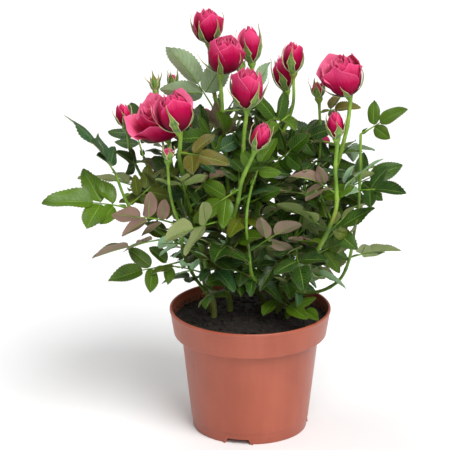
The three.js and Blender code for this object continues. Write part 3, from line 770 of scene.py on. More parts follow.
def sepal_material():
    """Sepals: green, downy, with paler or rosy margins and tips."""
    s = Shader("sepal")
    along, across, inner = s.parts(s.value_of("place"))
    side = s.math("ABSOLUTE", across)
    cloud = s.noise(260, 3)
    body = s.mix(s.fade(cloud, 0.3, 0.7), shade(66, 104, 30), shade(112, 146, 46))
    keel = s.fade(side, 0.14, 0.0, 0, 0.5)
    body = s.mix(keel, body, shade(142, 172, 74))
    rosy = s.times(s.fade(along, 0.45, 0.9), s.fade(cloud, 0.4, 0.6, 0.1, 0.6))
    body = s.mix(rosy, body, shade(150, 96, 66))
    body = s.mix(s.fade(side, 0.74, 0.96, 0, 0.85), body, shade(212, 196, 150))
    body = s.mix(s.times(s.fade(inner, 0.4, 0.6), 0.5), body, shade(168, 180, 124))
    s.set(base_color=body, roughness=0.58)
    s.set(sheen_weight=0.2, sheen_roughness=0.5)
    s.bump(s.noise(1300, 2), 0.12 * MM, 0.5)
    return s.material


def floor_material():
    """A nearly white floor, faintly clouded."""
    s = Shader("pale_floor")
    tint = s.mix(s.fade(s.noise(3, 2), 0.3, 0.7), (0.86, 0.86, 0.86), (0.88, 0.88, 0.88))
    s.set(base_color=tint, roughness=0.6)
    return s.material


# ---------------------------------------------------------------- pot

BAND_BOTTOM = POT_HEIGHT - RIM_BAND_HEIGHT
BAND_BOTTOM_RADIUS = RIM_RADIUS - RIM_BAND_TAPER
BODY_TOP_RADIUS = BAND_BOTTOM_RADIUS - SHOULDER
LEDGE = BAND_BOTTOM + WALL


def body_radius(z):
    """Outer radius of the pot at a height below its band."""
    return blend(BASE_RADIUS, BODY_TOP_RADIUS, z / BAND_BOTTOM)


def band_radius(z):
    """Outer radius of the pot at a height in its band."""
    return blend(BAND_BOTTOM_RADIUS, RIM_RADIUS, (z - BAND_BOTTOM) / RIM_BAND_HEIGHT)


def drain_block(turn, width, height, inner, outer):
    """A trapezoid block at the pot's foot, run outwards at a turn round the axis."""
    half, top = width / 2, width / 2 - DRAIN_SLANT
    section = [(-half, -GAP), (half, -GAP), (top, height), (-top, height)]
    points = np.array([(x, y, z) for x in (inner, outer) for y, z in section])
    spin = np.array(Matrix.Rotation(turn, 3, "Z"))
    sides = [[0, 1, 5, 4], [1, 2, 6, 5], [2, 3, 7, 6], [3, 0, 4, 7], [3, 2, 1, 0], [4, 5, 6, 7]]
    return solid("drain_block", (points @ spin.T, [sides]))


def cut(target, tool, operation="DIFFERENCE"):
    """Cuts tool from target, or joins it on, and removes tool."""
    change = target.modifiers.new("cut", "BOOLEAN")
    change.operation = operation
    change.object = tool
    change.solver = "EXACT"
    graph = bpy.context.evaluated_depsgraph_get()
    made = bpy.data.meshes.new_from_object(target.evaluated_get(graph))
    target.modifiers.clear()
    target.data = made
    bpy.data.objects.remove(tool)


def add_drain(pot, turn):
    """Moulds one drain into the pot's foot: a slot under a raised roof, with a hole in it."""
    inner = BASE_RADIUS - DRAIN_DEPTH
    roof = drain_block(turn, DRAIN_WIDTH + 2 * WALL, DRAIN_HEIGHT + WALL, inner - WALL,
                       BASE_RADIUS - WALL / 2)
    roof.data.transform(Matrix.Translation((0, 0, GAP)))
    cut(pot, roof, "UNION")
    cut(pot, drain_block(turn, DRAIN_WIDTH, DRAIN_HEIGHT, inner, BASE_RADIUS + WALL))
    centre = (BASE_RADIUS - DRAIN_DEPTH / 2 - WALL) * direction(math.degrees(turn), 0)
    line = [centre, centre + (0, 0, 4 * WALL + DRAIN_HEIGHT)]
    cut(pot, solid("hole", rod(line, DRAIN_HOLE_RADIUS, 32)))


def make_pot():
    """The pot: a turned shell closed at the middle of its base, with its drains."""
    foot = body_radius(FOOT_HEIGHT)
    lip = 0.62 * WALL
    corners = [
        (1 * MM, 0, 0),
        (BASE_RADIUS - FOOT_STEP, 0, 0.7 * MM),
        (foot - FOOT_STEP, FOOT_HEIGHT, 0.2 * MM),
        (foot, FOOT_HEIGHT + FOOT_STEP, 0.2 * MM),
        (BODY_TOP_RADIUS, BAND_BOTTOM, 0.6 * MM),
        (BAND_BOTTOM_RADIUS, BAND_BOTTOM, 0.8 * MM),
        (RIM_RADIUS - LIP_BEAD, POT_HEIGHT - 3 * MM, 0.4 * MM),
        (RIM_RADIUS, POT_HEIGHT - 2.2 * MM, 0.3 * MM),
        (RIM_RADIUS, POT_HEIGHT, lip),
        (RIM_RADIUS - 1.5 * WALL, POT_HEIGHT, lip),
        (RIM_RADIUS - 1.5 * WALL, POT_HEIGHT - 2.2 * MM, 0.3 * MM),
        (band_radius(LEDGE) - WALL, LEDGE, 0.8 * MM),
        (body_radius(LEDGE) - WALL, LEDGE, 0.6 * MM),
        (body_radius(WALL) - WALL, WALL, 1.2 * MM),
        (1 * MM, WALL, 0),
    ]
    pot = solid("pot_shell", lathe(rounded(corners), POT_SEGMENTS), sharp=POT_SHARP)
    cut(pot, solid("plug", rod([(0, 0, 0), (0, 0, WALL)], 1.2 * MM, 24)), "UNION")
    for i in range(DRAIN_COUNT):
        add_drain(pot, DRAIN_TURN + i * 2 * math.pi / DRAIN_COUNT)
    pot.data.materials.append(plastic_material())
    pot.data.polygons.foreach_set("use_smooth", [True] * len(pot.data.polygons))
    pot.data.set_sharp_from_angle(angle=math.radians(POT_SHARP))
    return pot


# ---------------------------------------------------------------- soil


def waves(x, y, seed, octaves=5, first=60.0):
    """A sum of sine waves at random slants: a quick rolling height field, about -1 to 1."""
    picker = np.random.default_rng(seed)
    total = np.zeros_like(x)
    for octave in range(octaves):
        for _ in range(4):
            angle, phase = picker.uniform(0, 2 * math.pi, 2)
            pitch = first * 1.9**octave
            total += np.sin((x * math.cos(angle) + y * math.sin(angle)) * pitch + phase) / 1.6**octave
    return total / 5


def soil_height(x, y):
    """Height of the soil's surface."""
    radius = np.hypot(x, y) / band_radius(SOIL_TOP)
    crown = SOIL_TOP - SOIL_CROWN * radius**2
    return crown + SOIL_ROUGHNESS * 0.5 * waves(x, y, 4, first=90.0)


def make_soil(material):
    """The bed of soil, which fills the pot to a rolling surface and has a pinhole at its axis."""
    rings, segments = 84, 200
    clearance = WALL + SOIL_GAP
    radius = np.linspace(CORE_RADIUS, band_radius(SOIL_TOP) - clearance, rings)[:, None]
    angle = np.linspace(0, 2 * math.pi, segments, endpoint=False)[None, :]
    surface = round_points(radius, angle, soil_height(radius * np.cos(angle), radius * np.sin(angle)))
    walls = np.array([
        (band_radius(LEDGE) - clearance, LEDGE + SOIL_GAP),
        (body_radius(LEDGE) - clearance, LEDGE + SOIL_GAP),
        (body_radius(SOIL_FLOOR) - clearance, SOIL_FLOOR),
        (CORE_RADIUS, SOIL_FLOOR),
    ])
    points = np.concatenate([surface, round_points(walls[:, :1], angle, walls[:, 1:])])
    body = grid_faces(len(points), segments, closed=True)
    closing = np.arange(segments)
    last = (len(points) - 1) * segments + closing
    inner = np.stack([last, np.roll(last, -1), np.roll(closing, -1), closing], axis=1)
    return solid("soil_bed", (points, [body[:, ::-1], inner[:, ::-1]]), [material], sharp=60)


def pebble(rng, centre, size):
    """A small rough lump: its points and its faces."""
    rows, columns = 6, 8
    lift = np.linspace(-1, 1, rows)[:, None] * 0.92
    turn = np.linspace(0, 2 * math.pi, columns, endpoint=False)[None, :] + rng.random() * 6
    level = np.sqrt(1 - lift**2)
    ball = round_points(level, turn, lift)
    ball *= np.array([rng.uniform(0.7, 1.3) for _ in range(rows * columns)]).reshape(rows, columns, 1)
    ball *= np.array([rng.uniform(0.7, 1.3), rng.uniform(0.7, 1.3), rng.uniform(0.5, 0.8)]) * size
    top, bottom = np.arange(columns) + (rows - 1) * columns, np.arange(columns)
    north, south = rows * columns, rows * columns + 1
    caps = [np.stack([top, np.roll(top, -1), np.full(columns, north)], axis=1),
            np.stack([np.roll(bottom, -1), bottom, np.full(columns, south)], axis=1)]
    poles = np.array([ball[-1].mean(0), ball[0].mean(0)])
    points = np.vstack([ball.reshape(-1, 3), poles]) + centre
    return points, [grid_faces(rows, columns, closed=True), np.vstack(caps)]


def make_crumbs(material):
    """Loose crumbs and fibres of peat on the soil."""
    rng = random.Random(11)
    skin = Skin()
    reach = band_radius(SOIL_TOP) - WALL - CRUMB_MARGIN
    for _ in range(CRUMBS):
        radius, turn = reach * math.sqrt(rng.random()), rng.uniform(0, 2 * math.pi)
        x, y = radius * math.cos(turn), radius * math.sin(turn)
        size = rng.choice(CRUMB_SIZES) * MM
        z = float(soil_height(np.array(x), np.array(y))) + 0.2 * size
        skin.add(*pebble(rng, np.array([x, y, z]), size))
    for _ in range(FIBRES):
        radius, turn = (reach - 5 * MM) * math.sqrt(rng.random()), rng.uniform(0, 2 * math.pi)
        start = np.array([radius * math.cos(turn), radius * math.sin(turn), 0])
        heading = rng.uniform(0, 360)
        line = [start + direction(heading + 14 * k, 0) * FIBRE_STEP * k for k in range(5)]
        for k, point in enumerate(line):
            point[2] = float(soil_height(point[0], point[1])) + (0.5 + 0.25 * math.sin(k + turn)) * MM
        skin.add(*rod(line, rng.uniform(0.12, 0.3) * MM, 5))
    return skin.make("soil_crumbs", [material], sharp=70)


# ---------------------------------------------------------------- stems


def world_point(point):
    """A point of the growth plan, in metres from the pot's base."""
    x, y, z = point
    return np.array([x * MM, y * MM, SOIL_TOP + z * MM])


SHOOTS = {}
for shoots in CANES.values():
    for shoot_name, (shoot_radius, *plan) in shoots.items():
        line = [world_point(point) for point in plan]
        if plan[0][2] == 0:
            line.insert(1, world_point((plan[0][0], plan[0][1], COLLAR)))
        SHOOTS[shoot_name] = (Path(line), shoot_radius)

BLOOM_OF = {plan[0]: name for name, plan in BLOOMS.items()}


def bloom_axis(name):
    """The direction a bloom opens along."""
    _, azimuth, lean, *_ = BLOOMS[name]
    return direction(azimuth, 90 - lean)


def stem_line(path, radius, rng):
    """Points along a shoot, and its radius at each, with a swelling at each leaf node."""
    count = max(6, round(path.length / (2.2 * MM)))
    share = np.linspace(0, 1, count)
    nodes = np.abs(((share * path.length / NODE_PITCH + rng.random()) % 1) - 0.5) * 2
    swelling = 0.16 * np.exp(-((1 - nodes) / 0.12) ** 2)
    taper = blend(1.08, 0.86, share)
    return path.at(share), radius * (taper + swelling)


def hip_line(path, radius, axis):
    """The green hip beyond a shoot's tip, from stem to calyx."""
    tip = path.at(1)[0]
    back = path.at(1 - 3 * MM / path.length)[0]
    share = np.linspace(0, 1, 9)
    heights = blend(0, HIP_HEIGHT + 0.8 * MM, share)
    profile = np.interp(share, [0, 0.25, 0.5, 0.75, 0.9, 1], [0.95, 1.15, 1.6, 1.95, 1.9, 1.35])
    points = np.vstack([back, tip + heights[:, None] * axis])
    widest = HIP_RADIUS / 1.95
    radii = np.concatenate([[radius * 0.86], profile * blend(radius, widest, ease(share, 0, 0.6))])
    return points, radii


def prickle(skin, path, radius, share, azimuth, size):
    """One hooked prickle, pointing a little down."""
    base = path.at(share)[0]
    ahead = path.heading(share)
    out = direction(azimuth, 0)
    out = unit(out - ahead * np.dot(out, ahead))
    root = base + out * radius * 0.7
    line = [root, root + out * size * 0.5 - ahead * size * 0.05, root + out * size - ahead * size * 0.4]
    skin.add(*rod(line, [size * 0.36, size * 0.16, size * 0.02], 6), material=1)


def make_stems(cane, materials):
    """A cane's shoots, each closed and run into the next, with their hips and prickles."""
    rng = random.Random("stems " + cane)
    rooted = next(iter(CANES[cane]))
    skin = Skin()
    for shoot in CANES[cane]:
        path, radius = SHOOTS[shoot]
        points, radii = stem_line(path, radius, rng)
        if shoot == rooted:
            points = np.vstack([points[0] - (0, 0, ROOT_DEPTH), points])
            radii = np.concatenate([[radii[0]], radii])
        skin.add(*rod(points, radii, 12))
        if shoot in BLOOM_OF:
            skin.add(*rod(*hip_line(path, radius, bloom_axis(BLOOM_OF[shoot])), 14))
        for _ in range(int(path.length / PRICKLE_PITCH)):
            size = rng.uniform(0.9, 1.9) * MM * (radius / SHOOT) ** 0.5
            prickle(skin, path, radius, rng.uniform(0.04, 0.8), rng.uniform(0, 360), size)
    return skin.make("stems_" + cane, materials, sharp=60)


# ---------------------------------------------------------------- leaves


def stalk_start(shoot, at, along):
    """How far from the shoot's middle line a leaf's stalk starts."""
    path, radius = SHOOTS[shoot]
    lean = float(np.clip(np.dot(path.heading(at), along), -0.9, 0.9))
    across = math.sqrt(1 - lean * lean)
    if at == 1:
        return (GAP + PETIOLE_HALF_WIDTH * across) / lean
    return (radius + GAP + PETIOLE_HALF_WIDTH * abs(lean)) / across


class Leaf:
    """A compound leaf in its own plane (x across, y along its stalk), and its place."""

    def __init__(self, plan):
        shoot, at, azimuth, rise, reach, size, pairs, face, tilt, *tones = plan
        self.reach, self.size, self.tones = reach * MM, size * MM, tones
        along = direction(azimuth, rise)
        across = unit(np.cross(along, direction(face, 90 - tilt)))
        self.axes = np.array([across, along, np.cross(across, along)])
        self.start = stalk_start(shoot, at, along)
        self.origin = SHOOTS[shoot][0].at(at)[0] + along * self.start
        self.leaflets = [(0.0, self.reach, 0.0, self.size)]
        for share, part in PAIRS[pairs]:
            for side in (-1, 1):
                swing = -side * SIDE_LEAFLET_ANGLE
                self.leaflets.append((side * PETIOLE, share * self.reach, swing, part * self.size))

    def place(self, points):
        """Points of the leaf's plane in the part's frame, with its lift and droop."""
        points = np.array(points, float)
        x, y = points[..., 0], points[..., 1]
        span = self.reach + self.size
        points[..., 2] += np.abs(x) * BLADE_LIFT - LEAF_DROOP * np.maximum(y, 0) ** 2 / span
        return points @ self.axes + self.origin

    def centres(self):
        """The middle of each leaflet, in the part's frame."""
        middles = []
        for x, y, swing, size in self.leaflets:
            reach = 0.5 * size
            middles.append((x - math.sin(swing) * reach, y + math.cos(swing) * reach, 0.0))
        return self.place(middles)


def leaflet_outline(along):
    """A leaflet's half width along its length, as a share of the widest, never quite 0."""
    peak, power = 0.4, 0.8
    outline = (along / peak) ** (peak * power / (1 - peak)) * ((1 - along) / (1 - peak)) ** power
    return np.maximum(outline, 0.02)


def leaflet(size, rng, teeth, columns, loose):
    """One leaflet's middle surface, from its foot along +Y, with its place values."""
    along, across = grid(2 * teeth + 1, columns)
    tooth = (np.arange(len(along)) % 2)[:, None] * ease(along, 0.05, 0.2) * ease(along, 1.0, 0.93)
    margin = np.abs(across) ** 6
    width = size * LEAFLET_SLENDERNESS / 2 * rng.uniform(0.92, 1.08)
    x = across * width * leaflet_outline(along) * (1 + 0.09 * tooth * margin)
    y = size * (along + 0.022 * tooth * margin)
    fold = math.tan(math.radians(rng.uniform(6, 26)))
    cup = rng.uniform(-0.5, 0.2)
    curl = rng.uniform(0.02, 0.3) * loose
    wave, phase = rng.uniform(0.012, 0.04), rng.uniform(0, 6)
    z = fold * np.abs(x) + cup * x**2 / width
    z = z - curl * y**2 / size
    z = z + size * wave * np.sin(9 * along + phase + 1.3 * np.sign(across)) * across**2
    # The blade swells between its side veins.
    quilt = np.cos(2 * math.pi * 9 * (along - 0.3 * np.abs(across) ** 1.3))
    z = z + size * 0.005 * quilt * np.abs(across) * (1 - across**2)
    twist = rng.uniform(-0.5, 0.5) * loose * (along - 0.2)
    x, z = x * np.cos(twist) - z * np.sin(twist), x * np.sin(twist) + z * np.cos(twist)
    return layers(x, y, z), layers(along, across, 0.0)


def add_leaflet(skin, leaf, spec, tones, rng, teeth, columns, loose):
    """Adds a leaflet, with the midrib that stands out below it, to a leaf."""
    x, y, swing, size = spec
    middle, place = leaflet(size, rng, teeth, columns, loose)
    if swing:
        swing += rng.uniform(-0.2, 0.2) * loose
    roll = rng.uniform(-0.5, 0.5) * loose
    pitch = rng.uniform(-0.35, 0.2) * loose
    turn = Matrix.Rotation(swing, 3, "Z") @ Matrix.Rotation(pitch, 3, "X") @ Matrix.Rotation(roll, 3, "Y")
    middle = middle @ np.array(turn).T
    foot = np.array([x, y, 0]) + np.array(turn @ Vector((0, 0.6 * MM if swing else 0, 0)))
    middle = leaf.place(middle + foot)
    thickness = BLADE_THICKNESS * (1 - 0.5 * np.abs(place[..., 1]) ** 4)
    add_both_sides(skin, middle, place, thickness, 0, *tones)
    # The midrib stands out below the blade.
    ribs = middle[: int(len(middle) * 0.9), middle.shape[1] // 2]
    share = np.linspace(0, 1, len(ribs))
    line = ribs - leaf.axes[2] * BLADE_THICKNESS * 0.7
    skin.add(*rod(line, blend(0.4, 0.12, share) * MM, 5), material=1)


def stipule(skin, leaf, side, tones):
    """A small pointed wing at the foot of a leaf's stalk."""
    along = np.linspace(0, 1, 7)[:, None]
    across = np.linspace(0, 1, 3)[None, :]
    x = side * (0.3 + 1.5 * np.sin(math.pi * along**0.6) * across + 0.9 * along**2) * MM
    y = (-0.5 + 6.0 * along) * MM
    z = 0.3 * MM * across * np.sin(2 * along)
    middle = layers(x, y, z)
    if side < 0:
        middle = middle[:, ::-1]
    points, faces = sheet(leaf.place(middle), np.full(middle.shape[:2], 0.25 * MM))
    skin.add(points, faces, 0, (0.5, 0.5, 0), *tones)


def add_leaf(skin, plan, rng, teeth=13, columns=9, loose=0.4):
    """Adds a whole compound leaf: its stalk, stipules and leaflets."""
    leaf = Leaf(plan)
    tones = tone_pair(leaf.tones, rng)
    share = np.linspace(0, 1, 14)
    sway = rng.uniform(-0.03, 0.03) * leaf.reach
    stalk = np.stack(
        [sway * np.sin(math.pi * share), blend(-leaf.start, leaf.reach, share), 0 * share], axis=1
    )
    skin.add(*rod(leaf.place(stalk), PETIOLE * blend(1.25, 0.7, share), 7), material=1)
    for side in (-1, 1):
        stipule(skin, leaf, side, tones)
    for spec in leaf.leaflets:
        add_leaflet(skin, leaf, spec, tones, rng, teeth, columns, loose)


def tone_pair(names, rng):
    """A leaf's two tones, each a little off its name's."""
    upper, lower = UPPER_TONES[names[0]], LOWER_TONES[names[1]]
    light = rng.uniform(0.82, 1.2)
    varied = tuple(value * rng.uniform(0.92, 1.08) for value in lower)
    return tuple(value * light for value in upper), varied


def make_leaf(number, materials):
    """The planned leaf with this number, counted from 0."""
    skin = Skin()
    add_leaf(skin, LEAVES[number], random.Random(f"leaf {number}"))
    return skin.make(f"blades_{number + 1:02d}", materials)


# ---------------------------------------------------------------- filler foliage


def bloom_spheres():
    """The middle and radius of each bloom."""
    spheres = []
    for name, (shoot, _, _, length, radius, *_) in BLOOMS.items():
        tip = SHOOTS[shoot][0].at(1)[0]
        spheres.append((tip + bloom_axis(name) * (length * 0.55 * MM), max(radius, length / 2) * MM))
    return spheres


def filler_plan(shoot, at, azimuth, rng):
    """A random leaf at a place on a shoot."""
    rise = rng.uniform(-12, 48)
    pairs = rng.choice([1, 2, 2])
    size = rng.uniform(17, 27)
    reach = rng.uniform(16, 30) if pairs == 2 else rng.uniform(11, 20)
    face = azimuth + rng.uniform(-50, 50)
    upper = rng.choice(FILLER_TONES)
    lower = rng.choice(["sage", "sage", "mint", "mauve"])
    return (shoot, at, azimuth, rise, reach, size, pairs, face, rng.uniform(22, 62), upper, lower)


def fits(leaf, centres, spheres, low, high):
    """Whether a leaf is inside the box, clear of the blooms, and not on top of another."""
    reach = 0.55 * leaf.size
    for middle in leaf.centres():
        if np.any(middle - reach < low) or np.any(middle + reach > high):
            return False
        height = middle[2] - SOIL_TOP
        if middle[1] < FILLER_FRONT or height < 10 * MM:
            return False
        radius = np.hypot(middle[0], middle[1])
        if radius > FILLER_REACH + FILLER_SPREAD * height or height > FILLER_TOP - radius * FILLER_FALL:
            return False
        if any(np.linalg.norm(middle - centre) < bloom + reach for centre, bloom in spheres):
            return False
        if min(np.linalg.norm(np.array(centres) - middle, axis=1)) < FILLER_ROOM:
            return False
    return True


def plan_fillers(low, high):
    """The end leaves of each cane, and its filler leaves, set between the planned ones."""
    rng = random.Random(23)
    spheres = bloom_spheres()
    centres = [middle for plan in LEAVES + END_LEAVES for middle in Leaf(plan).centres()]
    plans = {cane: [plan for plan in END_LEAVES if plan[0] in CANES[cane]] for cane in CANES}
    for cane, shoots in CANES.items():
        for shoot in shoots:
            if shoot in BARE_SHOOTS:
                continue
            path, _ = SHOOTS[shoot]
            turn = rng.uniform(0, 360)
            for i in range(int(path.length / FILLER_PITCH)):
                at = (i + 0.5) * FILLER_PITCH / path.length
                height = path.at(at)[0][2] - SOIL_TOP
                if height < 12 * MM or at > 0.86:
                    continue
                for attempt in range(FILLER_TRIES):
                    azimuth = turn + math.degrees(GOLDEN_ANGLE) * i + 43 * attempt
                    plan = filler_plan(shoot, at, azimuth, rng)
                    leaf = Leaf(plan)
                    if fits(leaf, centres, spheres, low, high):
                        centres.extend(leaf.centres())
                        plans[cane].append(plan)
                        break
    return plans


def make_fillers(cane, plans, materials):
    """A cane's end and filler leaves as one piece, with fewer teeth than the planned ones."""
    skin = Skin()
    rng = random.Random("fillers " + cane)
    for plan in plans:
        add_leaf(skin, plan, rng, teeth=10, columns=7, loose=1.0)
    return skin.make("foliage_" + cane, materials)


# ---------------------------------------------------------------- blooms


def axis_frame(axis):
    """Axes with the third along axis, as rows."""
    side = unit(np.cross((0, 1, 0), axis))
    return np.array([side, np.cross(axis, side), axis])


class Cup:
    """The outer shape of a bloom's closed petals, from its hip up."""

    def __init__(self, length, radius, openness, curl):
        self.height = length * MM - HIP_HEIGHT
        self.wide = radius * MM
        self.open = openness
        self.curl = curl
        mouth = self.wide * blend(BUD_MOUTH, BLOOM_MOUTH, (openness + curl) / 2)
        shares = [0, 0.08, 0.22, 0.5, 0.78, 1]
        radii = [0.6 * HIP_RADIUS, 0.45 * self.wide, 0.8 * self.wide, self.wide,
                 blend(self.wide, mouth, 0.4), mouth * 0.8]
        self.profile = Path([(share, radius, 0) for share, radius in zip(shares, radii)]).points

    def radius(self, share):
        return np.interp(share, self.profile[:, 0], self.profile[:, 1])


def bent(radius, rise, curl):
    """A profile turned outwards by curl at each of its rows, at its own length."""
    out, up = np.diff(radius, axis=0), np.diff(rise, axis=0)
    turn = (curl[1:] + curl[:-1]) / 2
    out, up = out * np.cos(turn) + up * np.sin(turn), up * np.cos(turn) - out * np.sin(turn)
    steps = [np.concatenate([0 * line[:1], np.cumsum(line, axis=0)]) for line in (out, up)]
    return radius[:1] + steps[0], rise[:1] + steps[1]


def petal(cup, rng, turn, shell, height, spread, lean, roll):
    """One petal's middle surface and place values, in the bloom's frame."""
    up, across = grid(17, 13)
    tip = rng.uniform(0.03, 0.1) + 0.06 * cup.curl
    crown = 1 - 0.2 * np.abs(across) ** 2.4 + tip * np.exp(-((across / 0.2) ** 2))
    rise = height * up * blend(1, crown, up)
    half = spread * (0.4 + 0.6 * np.sin(math.pi / 2 * np.minimum(up / 0.6, 1)))
    half = half * (1 - 0.15 * ease(up, 0.7, 1.0))
    angle = turn + half * across
    radius = shell * cup.radius(rise / cup.height)
    # The petal leans out from its foot, and its lip curls out, most at the corners.
    lip = ease(up, 0.55, 1.02) * (0.8 + 0.5 * across**2) * rng.uniform(0.85, 1.15)
    radius, rise = bent(radius, rise, lean * ease(up, 0.0, 0.5) + roll * lip)
    side = np.abs(across) ** 4 * ease(up, 0.3, 0.9)
    radius = radius + cup.wide * (0.05 * across * (0.4 + shell) + 0.1 * roll * side)
    phase = rng.uniform(0, 6)
    ruffle = blend(0.03, 0.055, max(0, cup.curl - 0.5) / 0.5)
    ripple = ruffle * cup.wide * np.sin(4.5 * across + phase) * up**2 * (0.5 + roll)
    return round_points(radius + ripple, angle, rise), layers(up, across, 0.0)


def petal_plan(cup, rng):
    """The petals of a bloom, from the outermost in."""
    openness = cup.open
    count = round(blend(9, 22, openness**0.8))
    turn = rng.uniform(0, 6)
    for k in range(count):
        depth = k / (count - 1)
        outer = 1 - float(ease(np.array(k), 0, blend(2.5, 7, openness)))
        shell = blend(1.0, 0.14, depth**0.9)
        height = cup.height * blend(0.93, 1.0, float(ease(np.array(depth), 0.1, 0.6)))
        height *= rng.uniform(0.95, 1.04) * blend(1.0, 0.9, openness * depth)
        height *= blend(GREEN_BUD_SHOWING, 1.0, min(1, openness / 0.05))
        spread = blend(1.25, 1.0, openness) * blend(1.0, 1.5, depth)
        lean = blend(0, 0.4, max(0, cup.curl - 0.5) / 0.5) * outer
        roll = blend(0.14, 1.5, cup.curl) * blend(0.22, 1, outer) * rng.uniform(0.55, 1.25)
        yield turn + k * GOLDEN_ANGLE, shell, height, spread, lean, roll


def sepal(cup, rng, turn, spread):
    """One sepal's middle surface and place values, in the bloom's frame."""
    rows = 16
    along, across = grid(rows, 5)
    length = cup.height * rng.uniform(0.85, 1.15) * blend(1.0, 0.85, cup.open)
    length = max(length, 11 * MM)
    # A closed bud's sepals hug it, and an open bloom's hang free.
    hug_height = length * along * 0.98
    hug_radius = cup.radius(np.clip(hug_height / cup.height, 0, 1)) + 0.5 * MM
    hug_radius = hug_radius + rng.uniform(0.5, 4.5) * MM * ease(along, 0.5, 1.0)
    start, finish = math.radians(blend(40, 95, spread)), math.radians(rng.uniform(-10, 70))
    angle = blend(start, finish, along)
    free_radius = 2.4 * MM + length * np.cumsum(np.sin(angle), axis=0) / rows
    free_height = length * np.cumsum(np.cos(angle), axis=0) / rows
    radius = blend(hug_radius, free_radius, spread)
    rise = blend(hug_height, free_height, spread)
    width = blend(2.9, 2.5, spread) * MM * (length / (22 * MM)) ** 0.5
    outline = (1 - along) ** 0.9 * (0.75 + 1.2 * along) * (1 - 0.6 * ease(along, 0.5, 0.8))
    outline = np.maximum(outline, 0.05)
    lobes = 0.5 * np.exp(-(((along - 0.42) / 0.05) ** 2)) * (rng.random() < 0.45)
    wrap = blend(1.45, 1.0, min(1, cup.open / 0.1))
    half = wrap * width * (outline + lobes * np.abs(across))
    swing = turn + across * half / np.maximum(radius, 2.2 * MM)
    hook = rng.uniform(-0.25, 0.25) * ease(along, 0.5, 1.0)
    return round_points(radius, swing + hook, rise), layers(along, across, 0.0)


class Bloom:
    """A bloom's petals and sepals, on its hip at the tip of a stem."""

    def __init__(self, name, tip, axis, length, radius, openness, curl):
        self.name = name
        self.cup = Cup(length, radius, openness, curl)
        self.axes = axis_frame(axis)
        self.seat = tip + axis * HIP_HEIGHT

    def add_petals(self, skin, material=0):
        rng = random.Random("petals " + self.name)
        for values in petal_plan(self.cup, rng):
            middle, place = petal(self.cup, rng, *values)
            thickness = PETAL_THICKNESS * (1 - 0.5 * np.abs(place[..., 1]) ** 3)
            middle = middle @ self.axes + self.seat
            add_both_sides(skin, middle, place, thickness, material, (rng.random(), 0, 0))

    def add_sepals(self, skin, material=0):
        rng = random.Random("sepals " + self.name)
        start = rng.uniform(0, 6)
        for k in range(SEPALS):
            spread = blend(0.02, 0.75, self.cup.open) * rng.uniform(0.5, 1.3)
            turn = start + k * 2 * math.pi / SEPALS
            middle, place = sepal(self.cup, rng, turn, min(spread, 1))
            thickness = np.full(middle.shape[:2], SEPAL_THICKNESS)
            middle = middle @ self.axes + self.seat
            add_both_sides(skin, middle, place, thickness, material)


def planned_bloom(name):
    """The bloom of the growth plan with this name."""
    shoot, _, _, *shape = BLOOMS[name]
    return Bloom(name, SHOOTS[shoot][0].at(1)[0], bloom_axis(name), *shape)


def make_petals(name, material):
    skin = Skin()
    planned_bloom(name).add_petals(skin)
    return skin.make("petals_" + name, [material], sharp=65)


def make_sepals(name, material):
    skin = Skin()
    planned_bloom(name).add_sepals(skin)
    return skin.make("sepals_" + name, [material], sharp=65)


def make_side_bud(name, materials):
    """A small bud still wrapped in its sepals, with its stalk."""
    shoot, share, plan, length, radius = SIDE_BUDS[name]
    start = SHOOTS[shoot][0].at(share)[0]
    path = Path([start, *(world_point(point) for point in plan)])
    axis = path.heading(1)
    skin = Skin()
    skin.add(*rod(path.at(np.linspace(0, 1, 14)), SIDE_STALK, 8), material=1)
    points, radii = hip_line(path, SIDE_STALK, axis)
    skin.add(*rod(points, radii * radius / 4.5, 12), material=1)
    bud = Bloom(name, path.at(1)[0], axis, length, radius, 0, 0)
    bud.add_sepals(skin)
    bud.add_petals(skin, material=2)
    return skin.make(name, materials, sharp=65)


# ---------------------------------------------------------------- stage


def make_floor():
    """A pale round floor under the pot."""
    floor = solid("floor", rod([(0, 0, -6 * MM), (0, 0, 0)], 9.0, 96), [floor_material()])


def aim(light, place, target):
    """Stands a light at a place, facing a target."""
    light.location = place
    light.rotation_euler = (Vector(target) - Vector(place)).to_track_quat("-Z", "Y").to_euler()
    bpy.context.scene.collection.objects.link(light)


def make_lights():
    """A wide soft sky light, and two weak panels before and above the plant."""
    middle = (0, 0, 0.18)
    sky = bpy.data.lights.new("soft_sky", "SUN")
    sky.energy = 2.8
    sky.angle = math.radians(36)
    aim(bpy.data.objects.new("soft_sky", sky), (0.5, -0.9, 1.5), middle)
    for name, place, size, power in (
        ("front_panel", (0.7, -2.0, 0.9), 0.9, 7),
        ("top_panel", (-0.5, 0.5, 1.9), 1.0, 9),
    ):
        panel = bpy.data.lights.new(name, "AREA")
        panel.shape = "DISK"
        panel.size = size
        panel.energy = power
        aim(bpy.data.objects.new(name, panel), place, middle)


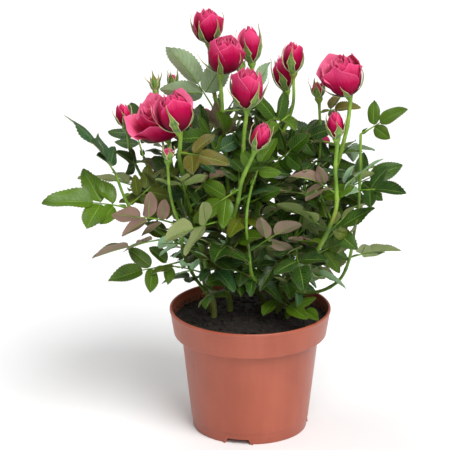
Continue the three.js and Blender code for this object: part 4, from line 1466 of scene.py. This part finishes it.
def make_world():
    """A studio that is white behind the plant, and lights it less from below than above."""
    world = bpy.data.worlds.new("studio")
    world.use_nodes = True
    tree = world.node_tree
    height = tree.nodes.new("ShaderNodeSeparateXYZ")
    rise = tree.nodes.new("ShaderNodeMapRange")
    for number, value in ((1, -0.2), (2, 0.9), (3, 0.18), (4, 0.56)):
        rise.inputs[number].default_value = value
    seen = tree.nodes.new("ShaderNodeMapRange")
    seen.inputs[4].default_value = 1.0
    tree.links.new(tree.nodes.new("ShaderNodeTexCoord").outputs["Generated"], height.inputs[0])
    tree.links.new(height.outputs[2], rise.inputs[0])
    tree.links.new(tree.nodes.new("ShaderNodeLightPath").outputs["Is Camera Ray"], seen.inputs[0])
    tree.links.new(rise.outputs[0], seen.inputs[3])
    tree.links.new(seen.outputs[0], tree.nodes["Background"].inputs["Strength"])
    tree.nodes["Background"].inputs["Color"].default_value = (1, 1, 1, 1)
    bpy.context.scene.world = world
    bpy.context.scene.view_settings.view_transform = "Standard"


def make_camera():
    """The camera, before the plant and a little above it."""
    forward = Vector((0, math.cos(CAMERA_DROP), -math.sin(CAMERA_DROP)))
    up = Vector((0, math.sin(CAMERA_DROP), math.cos(CAMERA_DROP)))
    data = bpy.data.cameras.new("camera")
    data.sensor_width = 36
    data.lens = CAMERA_LENS
    camera = bpy.data.objects.new("camera", data)
    camera.location = Vector(CAMERA_TARGET) - forward * CAMERA_DISTANCE
    look = forward + CAMERA_SLOPE_ACROSS * Vector((1, 0, 0)) + CAMERA_SLOPE_UP * up
    camera.rotation_euler = look.to_track_quat("-Z", "Y").to_euler()
    bpy.context.scene.collection.objects.link(camera)
    bpy.context.scene.camera = camera


# ---------------------------------------------------------------- assembly


def mount(piece, slot, *nodes):
    """Fixes a finished piece to the part, in place of the CAD nodes that it stands for."""
    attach(piece, "root")
    if nodes:
        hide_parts(*nodes)


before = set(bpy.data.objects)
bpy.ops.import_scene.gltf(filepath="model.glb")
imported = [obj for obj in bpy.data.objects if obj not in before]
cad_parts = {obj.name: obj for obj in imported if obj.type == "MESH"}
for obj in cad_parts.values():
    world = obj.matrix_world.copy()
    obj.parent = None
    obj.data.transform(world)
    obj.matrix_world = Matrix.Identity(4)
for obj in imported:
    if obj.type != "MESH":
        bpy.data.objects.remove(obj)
cad_low, cad_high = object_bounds()

stem = stem_material()
leaf_blade = leaf_material()
calyx = sepal_material()
rose_petal = petal_material()
peat = soil_material()
thorn = prickle_material()

mount(make_pot(), "pot", "pot")
mount(make_soil(peat), "soil", "soil")
mount(make_crumbs(peat), "soil")
for cane_name in CANES:
    mount(make_stems(cane_name, [stem, thorn]), "stem", "cane_" + cane_name)
for bloom_name in BLOOMS:
    mount(make_petals(bloom_name, rose_petal), "petal", bloom_name)
    mount(make_sepals(bloom_name, calyx), "leaf")
for bud_name in SIDE_BUDS:
    mount(make_side_bud(bud_name, [calyx, stem, rose_petal]), "leaf")
for leaf_number in range(len(LEAVES)):
    mount(make_leaf(leaf_number, [leaf_blade, stem]), "leaf", f"leaf_{leaf_number + 1:02d}")
filler_plans = plan_fillers(np.array(cad_low) + FILLER_BORDER, np.array(cad_high) - FILLER_BORDER)
for cane_name, leaf_plans in filler_plans.items():
    if leaf_plans:
        mount(make_fillers(cane_name, leaf_plans, [leaf_blade, stem]), "leaf")

make_floor()
make_lights()
make_world()
make_camera()
